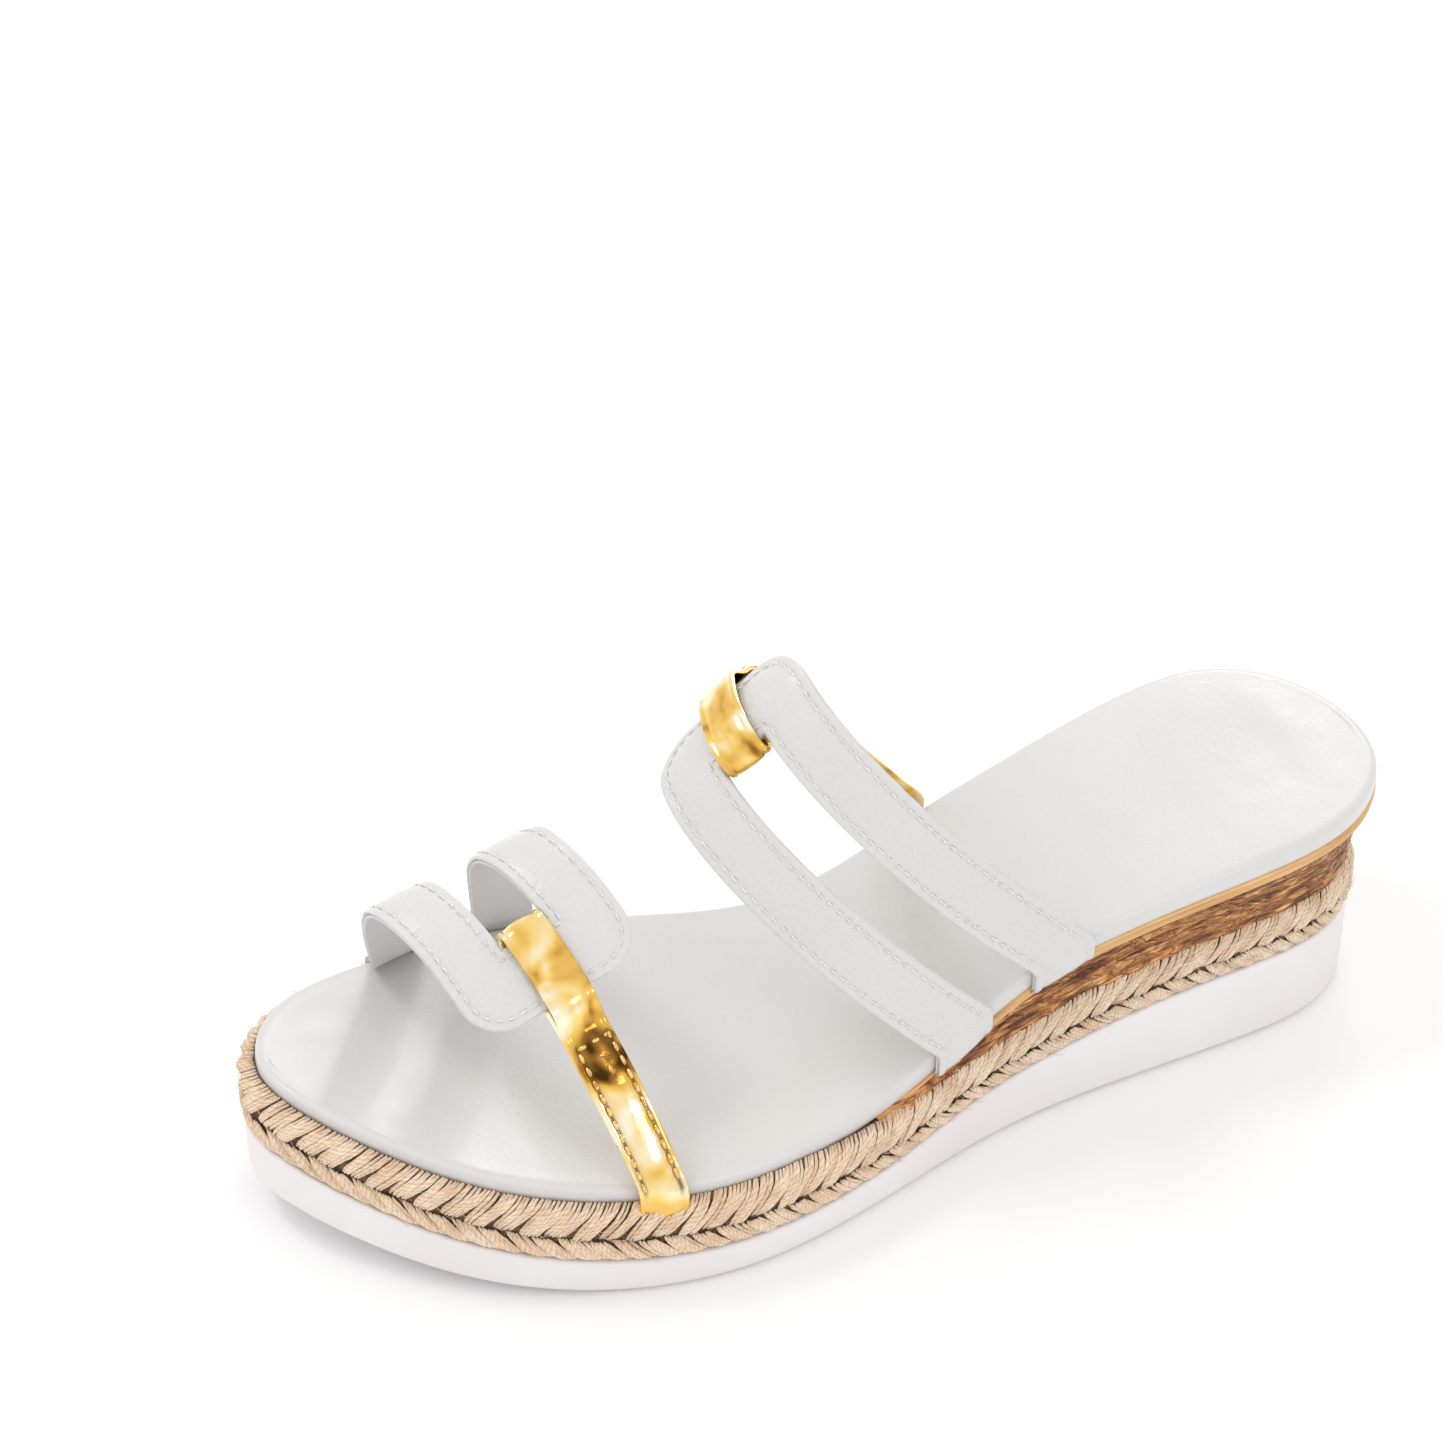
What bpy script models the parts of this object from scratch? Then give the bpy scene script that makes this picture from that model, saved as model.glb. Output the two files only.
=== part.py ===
"""Wedge espadrille sandal for the left foot, open toe and open back, slip-on.

A moulded rubber outsole cups a foam wedge.  A cork sheet wraps the wedge from the waist round the
heel, and a plaited jute band runs all the way round above the rubber.  The padded insole carries
two strap sets.  In each set a white U-shaped strap comes up from one side, and a narrow metallic
strap from the other side folds round the U's crossbar and is stitched back on itself.

Toe at -Y, heel at +Y, outer side of the foot at +X, floor at Z = 0.  Sizes below in millimetres.
"""
import math

import bmesh
import bpy
import numpy as np

MM = 0.001

# ------------------------------------------------------------------ overall sizes
LENGTH = 248.0            # footbed, toe tip to heel back
BALL_WIDTH = 91.0         # footbed across the ball of the foot
PLATFORM = 25.0           # footbed above the floor, under the ball
HEEL_SEAT = 54.0          # footbed above the floor, under the heel
TOE_LIFT = 13.5           # extra height of the footbed at the toe tip
TOE_SPRING = 8.5          # gap between floor and sole at the toe tip

# ------------------------------------------------------------------ sole parts
GAP = 0.3                 # clearance between pieces that touch
SOLE_BALL = 8.3           # rubber thickness under the ball
SOLE_HEEL = 0.39 * HEEL_SEAT  # height of the rubber wall at the heel
SOLE_FLOOR = 4.0          # rubber left under the foam wedge
SOLE_WALL = 4.5           # width of the rubber rim that the braid sits on
SOLE_FLARE = 3.2          # rim outside the footbed outline at the forefoot
SOLE_TUCK = 3.2           # rim inside the footbed outline at the heel
BRAID_FORE = 14.3         # braid height round the forefoot
BRAID_HEEL = 11.8         # braid height from the waist back
BRAID_THICK = 2.9         # braid thickness at its top and bottom edge
BRAID_BULGE = 0.6         # how far the braid swells past the rim
CORK_THICK = 1.3
CORK_START = 0.50         # station where the cork begins, as a share of the length
COVER_THICK = 0.8
FOAM_THICK = 1.8
BOARD_THICK = 1.8
HEEL_DISH = 1.0           # depth of the shallow cup under the heel
RIM_ROUND = 1.6           # rounding of the footbed's top edge
TREAD_DEPTH = 1.0
TREAD_WIDTH = 3.0
TREAD_PITCH = 9.5
TREAD_MARGIN = 9.0

# ------------------------------------------------------------------ straps
BAND_WIDTH = 14.0         # each arm of a U strap
METAL_WIDTH = 10.0        # metallic straps
LINING_THICK = 0.7
UPPER_THICK = 0.9
METAL_THICK = 1.2
CROSSBAR = 15.0           # depth of the U's closed end
SLOT_PLAY = 0.6           # free space each side of the metallic strap in the slot
TUCK = 9.0                # strap end glued between the foam wedge and the insole board
THREAD = 0.3              # stitching thread radius
SEAM_INSET = 2.0          # stitch line in from a strap edge
POCKET = 0.35             # clearance all round a strap end in its pocket

# how finely the shapes are cut
STATIONS = 46
ROWS = 3

# Half widths of the footbed outline as (station, share of the ball width); toe 0, heel 1.
TOE_TIP = (0.0, -0.165)
HEEL_TIP = (1.0, 0.045)
OUTER_SIDE = [(0.045, 0.10), (0.12, 0.30), (0.22, 0.44), (0.325, 0.495), (0.45, 0.445),
              (0.58, 0.377), (0.70, 0.377), (0.83, 0.397), (0.935, 0.350), (0.988, 0.215)]
INNER_SIDE = [(0.982, -0.135), (0.93, -0.272), (0.85, -0.299), (0.73, -0.262), (0.62, -0.243),
              (0.49, -0.291), (0.385, -0.412), (0.285, -0.50), (0.19, -0.505), (0.09, -0.44),
              (0.025, -0.31)]

# Share of the climb from ball to heel, and of the toe's lift, at stations along the foot.
CLIMB = [(0.0, 0.0), (0.36, 0.0), (0.40, 0.01), (0.45, 0.05), (0.50, 0.148), (0.55, 0.325),
         (0.60, 0.53), (0.65, 0.70), (0.70, 0.81), (0.78, 0.935), (0.88, 1.03), (1.0, 1.09)]
WALL_CLIMB = [(0.0, 0.0), (0.38, 0.0), (0.44, 0.03), (0.50, 0.175), (0.55, 0.36), (0.60, 0.50),
              (0.65, 0.635), (0.70, 0.785), (0.75, 0.895), (0.80, 0.96), (0.88, 1.0), (1.0, 1.0)]
LIFT = [(0.0, 1.0), (0.05, 0.74), (0.10, 0.48), (0.15, 0.28), (0.20, 0.133), (0.25, 0.045),
        (0.30, 0.0), (1.0, 0.0)]
SPRING = [(0.0, 1.0), (0.05, 0.65), (0.10, 0.38), (0.15, 0.18), (0.20, 0.05), (0.25, 0.0),
          (1.0, 0.0)]

# Each strap set: where its two ends leave the sole and the arch between them.  Stations are
# shares of the length; rises and handles are shares of the set's rise over the footbed.
TOE_SET = dict(
    prefix="toe", side=-1, strap_station=0.222, metal_station=0.254,
    apex_station=0.189, apex_across=-0.107, rise=43.4, run=(1.0, 0.30, 0.0),
    reach=(0.387, 0.472), strap_handle=(0.378, -0.058, 0.33), metal_handle=(0.235, -0.067, 0.383),
    lean=(12.0, 8.9, 16.7), yaw=(-7.6, -4.3, -4.6), root_gap=10.4, slot_share=0.565,
    corner=9.0, tail_end=11.0)
INSTEP_SET = dict(
    prefix="instep", side=1, strap_station=0.592, metal_station=0.62,
    apex_station=0.407, apex_across=-0.028, rise=73.7, run=(-1.0, 0.34, 0.02),
    reach=(0.31, 0.444), strap_handle=(-0.005, -0.31, 0.28), metal_handle=(0.104, -0.331, 0.39),
    lean=(32.4, 45.0, 25.6), yaw=(-15.0, 9.0, -1.0), root_gap=10.4, slot_share=0.462,
    corner=11.0, tail_end=52.0)


# ================================================================== curves and the outline
def smooth_through(points):
    """Return a smooth function through (x, y) points, flat outside them."""
    x = np.array([p[0] for p in points], float)
    y = np.array([p[1] for p in points], float)
    step = np.diff(y) / np.diff(x)
    slope = np.zeros(len(x))
    for i in range(1, len(x) - 1):
        if step[i - 1] * step[i] > 0:
            slope[i] = 2 * step[i - 1] * step[i] / (step[i - 1] + step[i])
    if abs(step[-1]) > 1e-9:
        slope[-1] = step[-1]
    if abs(step[0]) > 1e-9:
        slope[0] = step[0]

    def value(q):
        q = np.clip(np.asarray(q, float), x[0], x[-1])
        i = np.clip(np.searchsorted(x, q, side="right") - 1, 0, len(x) - 2)
        h = x[i + 1] - x[i]
        t = (q - x[i]) / h
        return ((2 * t**3 - 3 * t**2 + 1) * y[i] + (t**3 - 2 * t**2 + t) * h * slope[i]
                + (3 * t**2 - 2 * t**3) * y[i + 1] + (t**3 - t**2) * h * slope[i + 1])
    return value


def closed_spline(points, count):
    """Periodic cubic spline through points, spaced by chord length."""
    p = np.array(points, float)
    n = len(p)
    h = np.linalg.norm(np.roll(p, -1, axis=0) - p, axis=1)
    a = np.zeros((n, n))
    rhs = np.zeros((n, 2))
    for i in range(n):
        before, after = h[i - 1], h[i]
        a[i, i - 1] += before
        a[i, i] += 2 * (before + after)
        a[i, (i + 1) % n] += after
        rhs[i] = 6 * ((p[(i + 1) % n] - p[i]) / after - (p[i] - p[i - 1]) / before)
    m = np.linalg.solve(a, rhs)
    ends = np.concatenate([[0], np.cumsum(h)])
    out = []
    for q in np.linspace(0, ends[-1], count, endpoint=False):
        i = min(int(np.searchsorted(ends, q, side="right")) - 1, n - 1)
        j, s = (i + 1) % n, h[i]
        u, w = (ends[i + 1] - q) / s, (q - ends[i]) / s
        out.append(u * p[i] + w * p[j] + ((u**3 - u) * m[i] + (w**3 - w) * m[j]) * s * s / 6)
    return np.array(out)


def smoothstep(a, b, x):
    t = np.clip((np.asarray(x, float) - a) / (b - a), 0, 1)
    return t * t * (3 - 2 * t)


def station(y):
    return np.asarray(y, float) / LENGTH + 0.5


def outline_point(pair):
    return (pair[1] * BALL_WIDTH, (pair[0] - 0.5) * LENGTH)


OUTLINE = closed_spline([outline_point(p) for p in
                         [TOE_TIP] + OUTER_SIDE + [HEEL_TIP] + INNER_SIDE], 900)
_tip = int(OUTLINE[:, 1].argmin())
OUTLINE = np.roll(OUTLINE, -_tip, axis=0)
_back = int(OUTLINE[:, 1].argmax())


def make_ring():
    """Outline points in matching pairs: toe tip, outer side, heel tip, inner side."""
    y0, y1 = OUTLINE[0, 1], OUTLINE[_back, 1]
    y = y0 + (y1 - y0) * (1 - np.cos(np.pi * np.arange(1, STATIONS) / STATIONS)) / 2
    outer = OUTLINE[: _back + 1]
    inner = np.vstack([OUTLINE[_back:], OUTLINE[:1]])[::-1]
    xo = np.interp(y, outer[:, 1], outer[:, 0])
    xi = np.interp(y, inner[:, 1], inner[:, 0])
    return np.vstack([OUTLINE[:1], np.column_stack([xo, y]), OUTLINE[_back:_back + 1],
                      np.column_stack([xi, y])[::-1]])


RING = make_ring()
COUNT = len(RING)
_t = np.roll(RING, -1, axis=0) - np.roll(RING, 1, axis=0)
_t /= np.linalg.norm(_t, axis=1)[:, None]
NORMAL = np.column_stack([_t[:, 1], -_t[:, 0]])
RING_STATION = station(RING[:, 1])

climb, wall_climb = smooth_through(CLIMB), smooth_through(WALL_CLIMB)
lift, spring = smooth_through(LIFT), smooth_through(SPRING)


def footbed_z(y):
    t = station(y)
    return PLATFORM + (HEEL_SEAT - PLATFORM) * climb(t) + TOE_LIFT * lift(t)


def floor_z(y):
    return TOE_SPRING * spring(station(y))


def wall_z(y):
    """Top of the rubber wall."""
    t = station(y)
    thick = SOLE_BALL + (TOE_LIFT - TOE_SPRING) * 0.84 * lift(t)
    return thick + (SOLE_HEEL - SOLE_BALL) * wall_climb(t) + floor_z(y)


INSOLE = COVER_THICK + FOAM_THICK + BOARD_THICK + 2 * GAP


def under_z(y):
    """Underside of the insole."""
    return footbed_z(y) - INSOLE


def braid_height(y):
    return BRAID_FORE + (BRAID_HEEL - BRAID_FORE) * smoothstep(0.34, 0.50, station(y))


def braid_z(y):
    """Top of the braid; where the cork starts it stays under the insole."""
    room = under_z(y) - GAP - 1.2 + 4.0 * (1 - smoothstep(0.42, CORK_START, station(y)))
    return np.minimum(wall_z(y) + GAP + braid_height(y), room)


def rim_offset(t):
    """How far the rubber rim stands outside the footbed outline."""
    return SOLE_FLARE - (SOLE_FLARE + SOLE_TUCK) * smoothstep(0.44, 0.88, t)


RIM = rim_offset(RING_STATION)


# ================================================================== scene and materials
for thing in list(bpy.data.objects):
    bpy.data.objects.remove(thing, do_unlink=True)

PARTS = bpy.data.collections.new("wedge_sandal")
CUTTERS = bpy.data.collections.new("cutters")
bpy.context.scene.collection.children.link(PARTS)
bpy.context.scene.collection.children.link(CUTTERS)
CUTTERS.hide_render = True

ROOT = bpy.data.objects.new("sandal", None)
PARTS.objects.link(ROOT)


def material(name, colour, roughness, metallic=0.0):
    mat = bpy.data.materials.new(name)
    mat.use_nodes = True
    shader = mat.node_tree.nodes["Principled BSDF"]
    shader.inputs["Base Color"].default_value = (*colour, 1.0)
    shader.inputs["Roughness"].default_value = roughness
    shader.inputs["Metallic"].default_value = metallic
    return mat


WHITE_LEATHER = (0.80, 0.79, 0.77)
COLOURS = {
    "outsole": ((0.83, 0.81, 0.80), 0.45, 0.0),
    "wedge_core": ((0.72, 0.66, 0.56), 0.80, 0.0),
    "cork_wrap": ((0.42, 0.20, 0.08), 0.60, 0.0),
    "jute_braid": ((0.55, 0.40, 0.24), 0.90, 0.0),
    "insole_board": ((0.45, 0.36, 0.26), 0.85, 0.0),
    "footbed_foam": ((0.75, 0.74, 0.70), 0.90, 0.0),
    "footbed_cover": (WHITE_LEATHER, 0.40, 0.0),
    "metal_strap": ((0.80, 0.58, 0.28), 0.22, 1.0),
    "strap_upper": (WHITE_LEATHER, 0.35, 0.0),
    "strap_lining": ((0.78, 0.77, 0.74), 0.55, 0.0),
    "seam": ((0.86, 0.85, 0.83), 0.65, 0.0),
    "metal_seam": ((0.70, 0.52, 0.26), 0.55, 0.0),
}


def add_mesh(name, verts, faces, look, collection=PARTS):
    """Make one object from millimetre points, with faces turned outwards."""
    mesh = bpy.data.meshes.new(name)
    mesh.from_pydata([tuple(float(c) * MM for c in v) for v in verts], [], faces)
    bm = bmesh.new()
    bm.from_mesh(mesh)
    bmesh.ops.triangulate(bm, faces=bm.faces[:])
    bmesh.ops.recalc_face_normals(bm, faces=bm.faces[:])
    if bm.calc_volume(signed=True) < 0:
        bmesh.ops.reverse_faces(bm, faces=bm.faces[:])
    bm.to_mesh(mesh)
    bm.free()
    obj = bpy.data.objects.new(name, mesh)
    collection.objects.link(obj)
    obj.parent = ROOT
    if look is not None:
        mesh.materials.append(material(name, *COLOURS[look]))
    return obj


def add_cutter(name, verts, faces):
    obj = add_mesh(name, verts, faces, None, CUTTERS)
    obj.hide_render = True
    obj.display_type = "WIRE"
    return obj


def cut(target, cutter):
    mod = target.modifiers.new(cutter.name, "BOOLEAN")
    mod.operation = "DIFFERENCE"
    mod.solver = "EXACT"
    mod.object = cutter


# ================================================================== sole layers
def ring_at(offset, height):
    """Outline moved outwards by offset, at the height the function gives."""
    xy = RING + NORMAL * np.asarray(offset, float).reshape(-1, 1)
    return np.column_stack([xy, height(xy[:, 1]) * np.ones(COUNT)])


def cap(verts, faces, base, height, dish):
    """Fill a ring with rows of quads that follow the height function."""
    rows = []
    for k in range(1, STATIONS):
        a, b = np.array(verts[base + k]), np.array(verts[base + COUNT - k])
        row = [base + k]
        for j in range(1, ROWS + 1):
            f = j / (ROWS + 1)
            p = a + (b - a) * f
            sag = dish(p[1]) * (1 - (2 * f - 1) ** 2)
            row.append(len(verts))
            verts.append((p[0], p[1], float(height(p[1])) - float(sag)))
        row.append(base + COUNT - k)
        rows.append(row)
    for row in (rows[0], rows[-1]):
        tip = base if row is rows[0] else base + STATIONS
        for j in range(len(row) - 1):
            faces.append((tip, row[j], row[j + 1]))
    for r0, r1 in zip(rows[:-1], rows[1:]):
        for j in range(len(r0) - 1):
            faces.append((r0[j], r0[j + 1], r1[j + 1], r1[j]))


def flat(_y):
    return 0.0


def heel_dish(y):
    t = station(y)
    return HEEL_DISH * smoothstep(0.62, 0.80, t) * (1 - smoothstep(0.86, 0.985, t))


def layered(name, levels, look, dishes=(flat, flat)):
    """Closed solid from a stack of rings, capped at the first and the last one."""
    verts, faces = [], []
    for offset, height in levels:
        verts.extend(map(tuple, ring_at(offset, height)))
    for level in range(len(levels) - 1):
        lo, hi = level * COUNT, (level + 1) * COUNT
        for i in range(COUNT):
            j = (i + 1) % COUNT
            faces.append((lo + i, lo + j, hi + j, hi + i))
    cap(verts, faces, 0, levels[0][1], dishes[0])
    cap(verts, faces, (len(levels) - 1) * COUNT, levels[-1][1], dishes[1])
    return add_mesh(name, verts, faces, look)


def band(name, profile, look, first=0, last=None):
    """Band round the outline; profile is a closed list of (offset, height) pairs."""
    rings = [ring_at(offset, height) for offset, height in profile]
    whole = last is None
    span = list(range(COUNT)) if whole else list(range(first, last + 1))
    n = len(profile)
    verts = [tuple(rings[k][i]) for i in span for k in range(n)]
    faces = []
    steps = len(span) if whole else len(span) - 1
    for s in range(steps):
        a, b = s * n, ((s + 1) % len(span)) * n
        for k in range(n):
            m = (k + 1) % n
            faces.append((a + k, a + m, b + m, b + k))
    if not whole:
        faces.append(tuple(range(n)))
        faces.append(tuple((len(span) - 1) * n + k for k in range(n)))
    return add_mesh(name, verts, faces, look)


def shifted(height, amount):
    return lambda y: height(y) + amount


def between(lower, upper, share):
    return lambda y: lower(y) + (upper(y) - lower(y)) * share


cup_floor = shifted(floor_z, SOLE_FLOOR)
wedge_top = shifted(under_z, -GAP)
braid_foot = shifted(wall_z, GAP)

outsole = layered("outsole", [
    (RIM - 2.6, floor_z),
    (RIM - 0.9, shifted(floor_z, 0.7)),
    (RIM - 0.2, shifted(floor_z, 2.4)),
    (RIM, shifted(wall_z, -1.0)),
    (RIM - 0.7, wall_z),
    (RIM - SOLE_WALL, wall_z),
    (RIM - SOLE_WALL - 0.8, cup_floor)], "outsole")

# Only the part of the edge from the waist back is wrapped in cork.
FIRST = int(np.argmax(RING_STATION >= CORK_START))
CORKED = (np.arange(COUNT) >= FIRST) & (np.arange(COUNT) <= COUNT - FIRST)
cork_foot = shifted(braid_z, GAP)
cork_out_foot = RIM - 0.3
cork_out_top = -0.9 * np.ones(COUNT)
cork_out_mid = np.minimum(0.5 * (cork_out_foot + cork_out_top) - 0.6, cork_out_foot)

# The wedge drops into the rubber cup, rests its ledge on the rim and steps out under the cork.
core_braid = RIM - BRAID_THICK - GAP


def step_z(y):
    return np.minimum(braid_z(y) + 0.1, wedge_top(y) - 1.2)


def under_cork(offset):
    """Wedge edge behind the cork; plain braid-backed edge where there is none."""
    return np.where(CORKED, offset - CORK_THICK - GAP, core_braid)


wedge_core = layered("wedge_core", [
    (RIM - SOLE_WALL - 1.4, shifted(cup_floor, GAP)),
    (RIM - SOLE_WALL - GAP, braid_foot),
    (core_braid, shifted(braid_foot, 0.01)),
    (core_braid, step_z),
    (under_cork(cork_out_foot), shifted(step_z, 0.2)),
    (under_cork(cork_out_mid), between(shifted(step_z, 0.2), wedge_top, 0.5)),
    (under_cork(cork_out_top), wedge_top)], "wedge_core")

jute_braid = band("jute_braid", [
    (RIM - BRAID_THICK, braid_foot),
    (RIM - 0.3, braid_foot),
    (RIM + BRAID_BULGE * 0.8, between(braid_foot, braid_z, 0.22)),
    (RIM + BRAID_BULGE, between(braid_foot, braid_z, 0.50)),
    (RIM + BRAID_BULGE * 0.5, between(braid_foot, braid_z, 0.78)),
    (RIM - 0.7, between(braid_foot, braid_z, 0.97)),
    (RIM - BRAID_THICK, braid_z)], "jute_braid")

cork_wrap = band("cork_wrap", [
    (cork_out_foot - CORK_THICK, cork_foot),
    (cork_out_foot, cork_foot),
    (cork_out_mid, between(cork_foot, wedge_top, 0.5)),
    (cork_out_top, wedge_top),
    (cork_out_top - CORK_THICK, wedge_top),
    (cork_out_mid - CORK_THICK, between(cork_foot, wedge_top, 0.5))],
    "cork_wrap", FIRST, COUNT - FIRST)

SKIN = COVER_THICK + GAP
insole_board = layered("insole_board", [
    (-SKIN, under_z), (-SKIN, shifted(under_z, BOARD_THICK))], "insole_board")
foam_foot = shifted(under_z, BOARD_THICK + GAP)
footbed_foam = layered("footbed_foam", [
    (-SKIN, foam_foot), (-SKIN, shifted(footbed_z, -SKIN - 0.9)),
    (-SKIN - 0.9, shifted(footbed_z, -SKIN))], "footbed_foam", (flat, heel_dish))
footbed_cover = layered("footbed_cover", [
    (-SKIN - 0.6, shifted(footbed_z, -COVER_THICK)),
    (-COVER_THICK, shifted(footbed_z, -SKIN - 0.5)),
    (-COVER_THICK, under_z),
    (0.0, under_z),
    (0.0, shifted(footbed_z, -RIM_ROUND)),
    (-0.45 * RIM_ROUND, shifted(footbed_z, -0.3 * RIM_ROUND)),
    (-1.3 * RIM_ROUND, footbed_z)], "footbed_cover", (heel_dish, heel_dish))


def add_box(name, low, high):
    x0, y0, z0 = low
    x1, y1, z1 = high
    verts = [(x, y, z) for x in (x0, x1) for y in (y0, y1) for z in (z0, z1)]
    faces = [(0, 1, 3, 2), (4, 6, 7, 5), (0, 4, 5, 1), (2, 3, 7, 6), (0, 2, 6, 4), (1, 5, 7, 3)]
    return add_cutter(name, verts, faces)


def cut_tread():
    """Straight grooves across the flat underside of the rubber."""
    y = (0.27 - 0.5) * LENGTH
    number = 0
    outer = OUTLINE[: _back + 1]
    inner = np.vstack([OUTLINE[_back:], OUTLINE[:1]])[::-1]
    while y < (0.93 - 0.5) * LENGTH:
        if not 0.47 < float(station(y)) < 0.60:
            x1 = float(np.interp(y, outer[:, 1], outer[:, 0])) - TREAD_MARGIN
            x0 = float(np.interp(y, inner[:, 1], inner[:, 0])) + TREAD_MARGIN
            cutter = add_box("tread_cut_%02d" % number, (x0, y, -1.0),
                             (x1, y + TREAD_WIDTH, TREAD_DEPTH))
            cut(outsole, cutter)
            number += 1
        y += TREAD_PITCH


cut_tread()


# ================================================================== strap sets
def unit(v):
    return v / np.linalg.norm(v)


def bezier(p0, p1, p2, p3, count):
    t = np.linspace(0, 1, count)[:, None]
    return ((1 - t)**3 * p0 + 3 * t * (1 - t)**2 * p1 + 3 * t * t * (1 - t) * p2 + t**3 * p3)


class Rim:
    """The footbed edge on one side, measured in millimetres from a station."""

    def __init__(self, side, where):
        if side > 0:
            self.line = OUTLINE[: _back + 1]
        else:
            self.line = np.vstack([OUTLINE[_back:], OUTLINE[:1]])[::-1]
        step = np.linalg.norm(np.diff(self.line, axis=0), axis=1)
        self.arc = np.concatenate([[0], np.cumsum(step)])
        self.zero = float(np.interp((where - 0.5) * LENGTH, self.line[:, 1], self.arc))
        self.side = side

    def at(self, v):
        """Edge point and outward direction v millimetres towards the heel."""
        s = self.zero + v
        p = np.array([np.interp(s, self.arc, self.line[:, 0]),
                      np.interp(s, self.arc, self.line[:, 1])])
        q = np.array([np.interp(s + 0.5, self.arc, self.line[:, 0]),
                      np.interp(s + 0.5, self.arc, self.line[:, 1])])
        d = unit(q - p)
        return p, np.array([d[1], -d[0]]) * self.side


class Arch:
    """Surface that one strap set lies on, from the U's end of it to the metallic strap's end.

    s runs along the arch in millimetres from the U strap's edge of the sole, v runs across the
    strap towards the heel, and h is the height above the surface on the side away from the foot.
    """

    def __init__(self, spec):
        self.spec = spec
        side = spec["side"]
        self.rims = (Rim(side, spec["strap_station"]), Rim(-side, spec["metal_station"]))
        self.clear = (GAP, GAP + METAL_THICK + GAP)
        ends = []
        for rim, clear in zip(self.rims, self.clear):
            p, n = rim.at(0.0)
            e = p + n * clear
            ends.append(np.array([e[0], e[1], float(footbed_z(e[1]))]))
        start, finish = ends
        y = (spec["apex_station"] - 0.5) * LENGTH
        rise = spec["rise"]
        apex = np.array([spec["apex_across"] * BALL_WIDTH, y, float(footbed_z(y)) + rise])
        run = unit(np.array(spec["run"]))
        a, b = np.array(spec["strap_handle"]) * rise, np.array(spec["metal_handle"]) * rise
        a[0] *= -side
        b[0] *= side
        first = bezier(start, start + a, apex - run * spec["reach"][0] * rise, apex, 120)
        second = bezier(apex, apex + run * spec["reach"][1] * rise, finish + b, finish, 120)
        self.path = np.vstack([first, second[1:]])
        step = np.linalg.norm(np.diff(self.path, axis=0), axis=1)
        self.arc = np.concatenate([[0], np.cumsum(step)])
        self.length = float(self.arc[-1])
        self.slot = spec["slot_share"] * self.length
        self.end = self.slot + CROSSBAR
        self.gaps = (spec["root_gap"], METAL_WIDTH + 2 * SLOT_PLAY)
        self.corner = spec["corner"]
        # outward is the side away from the foot: up at the top of the arch
        self.outward = 1.0
        top = self.length * 0.5
        if (self.point(top, 0.0, 1.0) - self.point(top, 0.0, 0.0))[2] < 0:
            self.outward = -1.0

    def centre(self, s):
        return np.array([np.interp(s, self.arc, self.path[:, k]) for k in range(3)])

    def across(self, s):
        u = float(np.clip(s / self.length, 0, 1))
        k = ((1 - u) * (1 - 2 * u), 4 * u * (1 - u), u * (2 * u - 1))
        lean = math.radians(sum(w * d for w, d in zip(k, self.spec["lean"])))
        yaw = math.radians(sum(w * d for w, d in zip(k, self.spec["yaw"])))
        w = np.array([math.sin(yaw) * math.cos(lean), math.cos(yaw) * math.cos(lean),
                      math.sin(lean)])
        t = unit(self.centre(min(s + 0.6, self.length)) - self.centre(max(s - 0.6, 0.0)))
        return unit(w - t * (w @ t))

    def mid(self, s, v):
        """Point of the surface itself; both ends settle onto the curved edge of the sole."""
        p = self.centre(s) + self.across(s) * v
        for end, at, root in ((0, s, 0.0), (1, self.length - s, self.length)):
            fade = max(0.0, 1.0 - at / 26.0) ** 2
            if fade > 0:
                q, n = self.rims[end].at(v)
                q = q + n * self.clear[end]
                edge = np.array([q[0], q[1], float(footbed_z(q[1]))])
                p = p + fade * (edge - (self.centre(root) + self.across(root) * v))
        return p

    def point(self, s, v, h):
        s = float(np.clip(s, 0.0, self.length))
        e = 0.8
        lo, hi = max(s - e, 0.0), min(s + e, self.length)
        along = self.mid(hi, v) - self.mid(lo, v)
        wide = self.mid(s, v + e) - self.mid(s, v - e)
        out = unit(np.cross(along, wide))
        if self.spec["side"] < 0:
            out = -out
        return self.mid(s, v) + out * h * self.outward

    def tucked(self, end, q, v, h):
        """Point on the strap's end: q = 0 at the far end under the insole, 1 at the footbed."""
        rim, clear = self.rims[end], self.clear[end]
        p, n = rim.at(v)
        turn = 0.5 * math.pi * clear
        side_run = INSOLE - 0.6
        total = TUCK + turn + side_run
        d = q * total
        if d < TUCK:
            xy = p + n * (d - TUCK)
            return np.array([xy[0], xy[1], float(under_z(xy[1])) - clear - h])
        if d < TUCK + turn:
            angle = (d - TUCK) / clear
            r = clear + h
            o, drop = math.sin(angle) * r, math.cos(angle) * r
            xy = p + n * o
            return np.array([xy[0], xy[1], float(under_z(p[1] + n[1] * clear)) - drop])
        o = clear + h
        xy = p + n * o
        return np.array([xy[0], xy[1], float(under_z(p[1] + n[1] * clear)) + d - TUCK - turn])

    def tuck_rows(self, end):
        clear = self.clear[end]
        turn = 0.5 * math.pi * clear
        total = TUCK + turn + INSOLE - 0.6
        rows = [0.0, 0.5 * TUCK / total]
        rows += [(TUCK + turn * k / 3) / total for k in range(4)]
        rows += [(TUCK + turn + (INSOLE - 0.6) * 0.5) / total, 1.0]
        return rows


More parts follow.
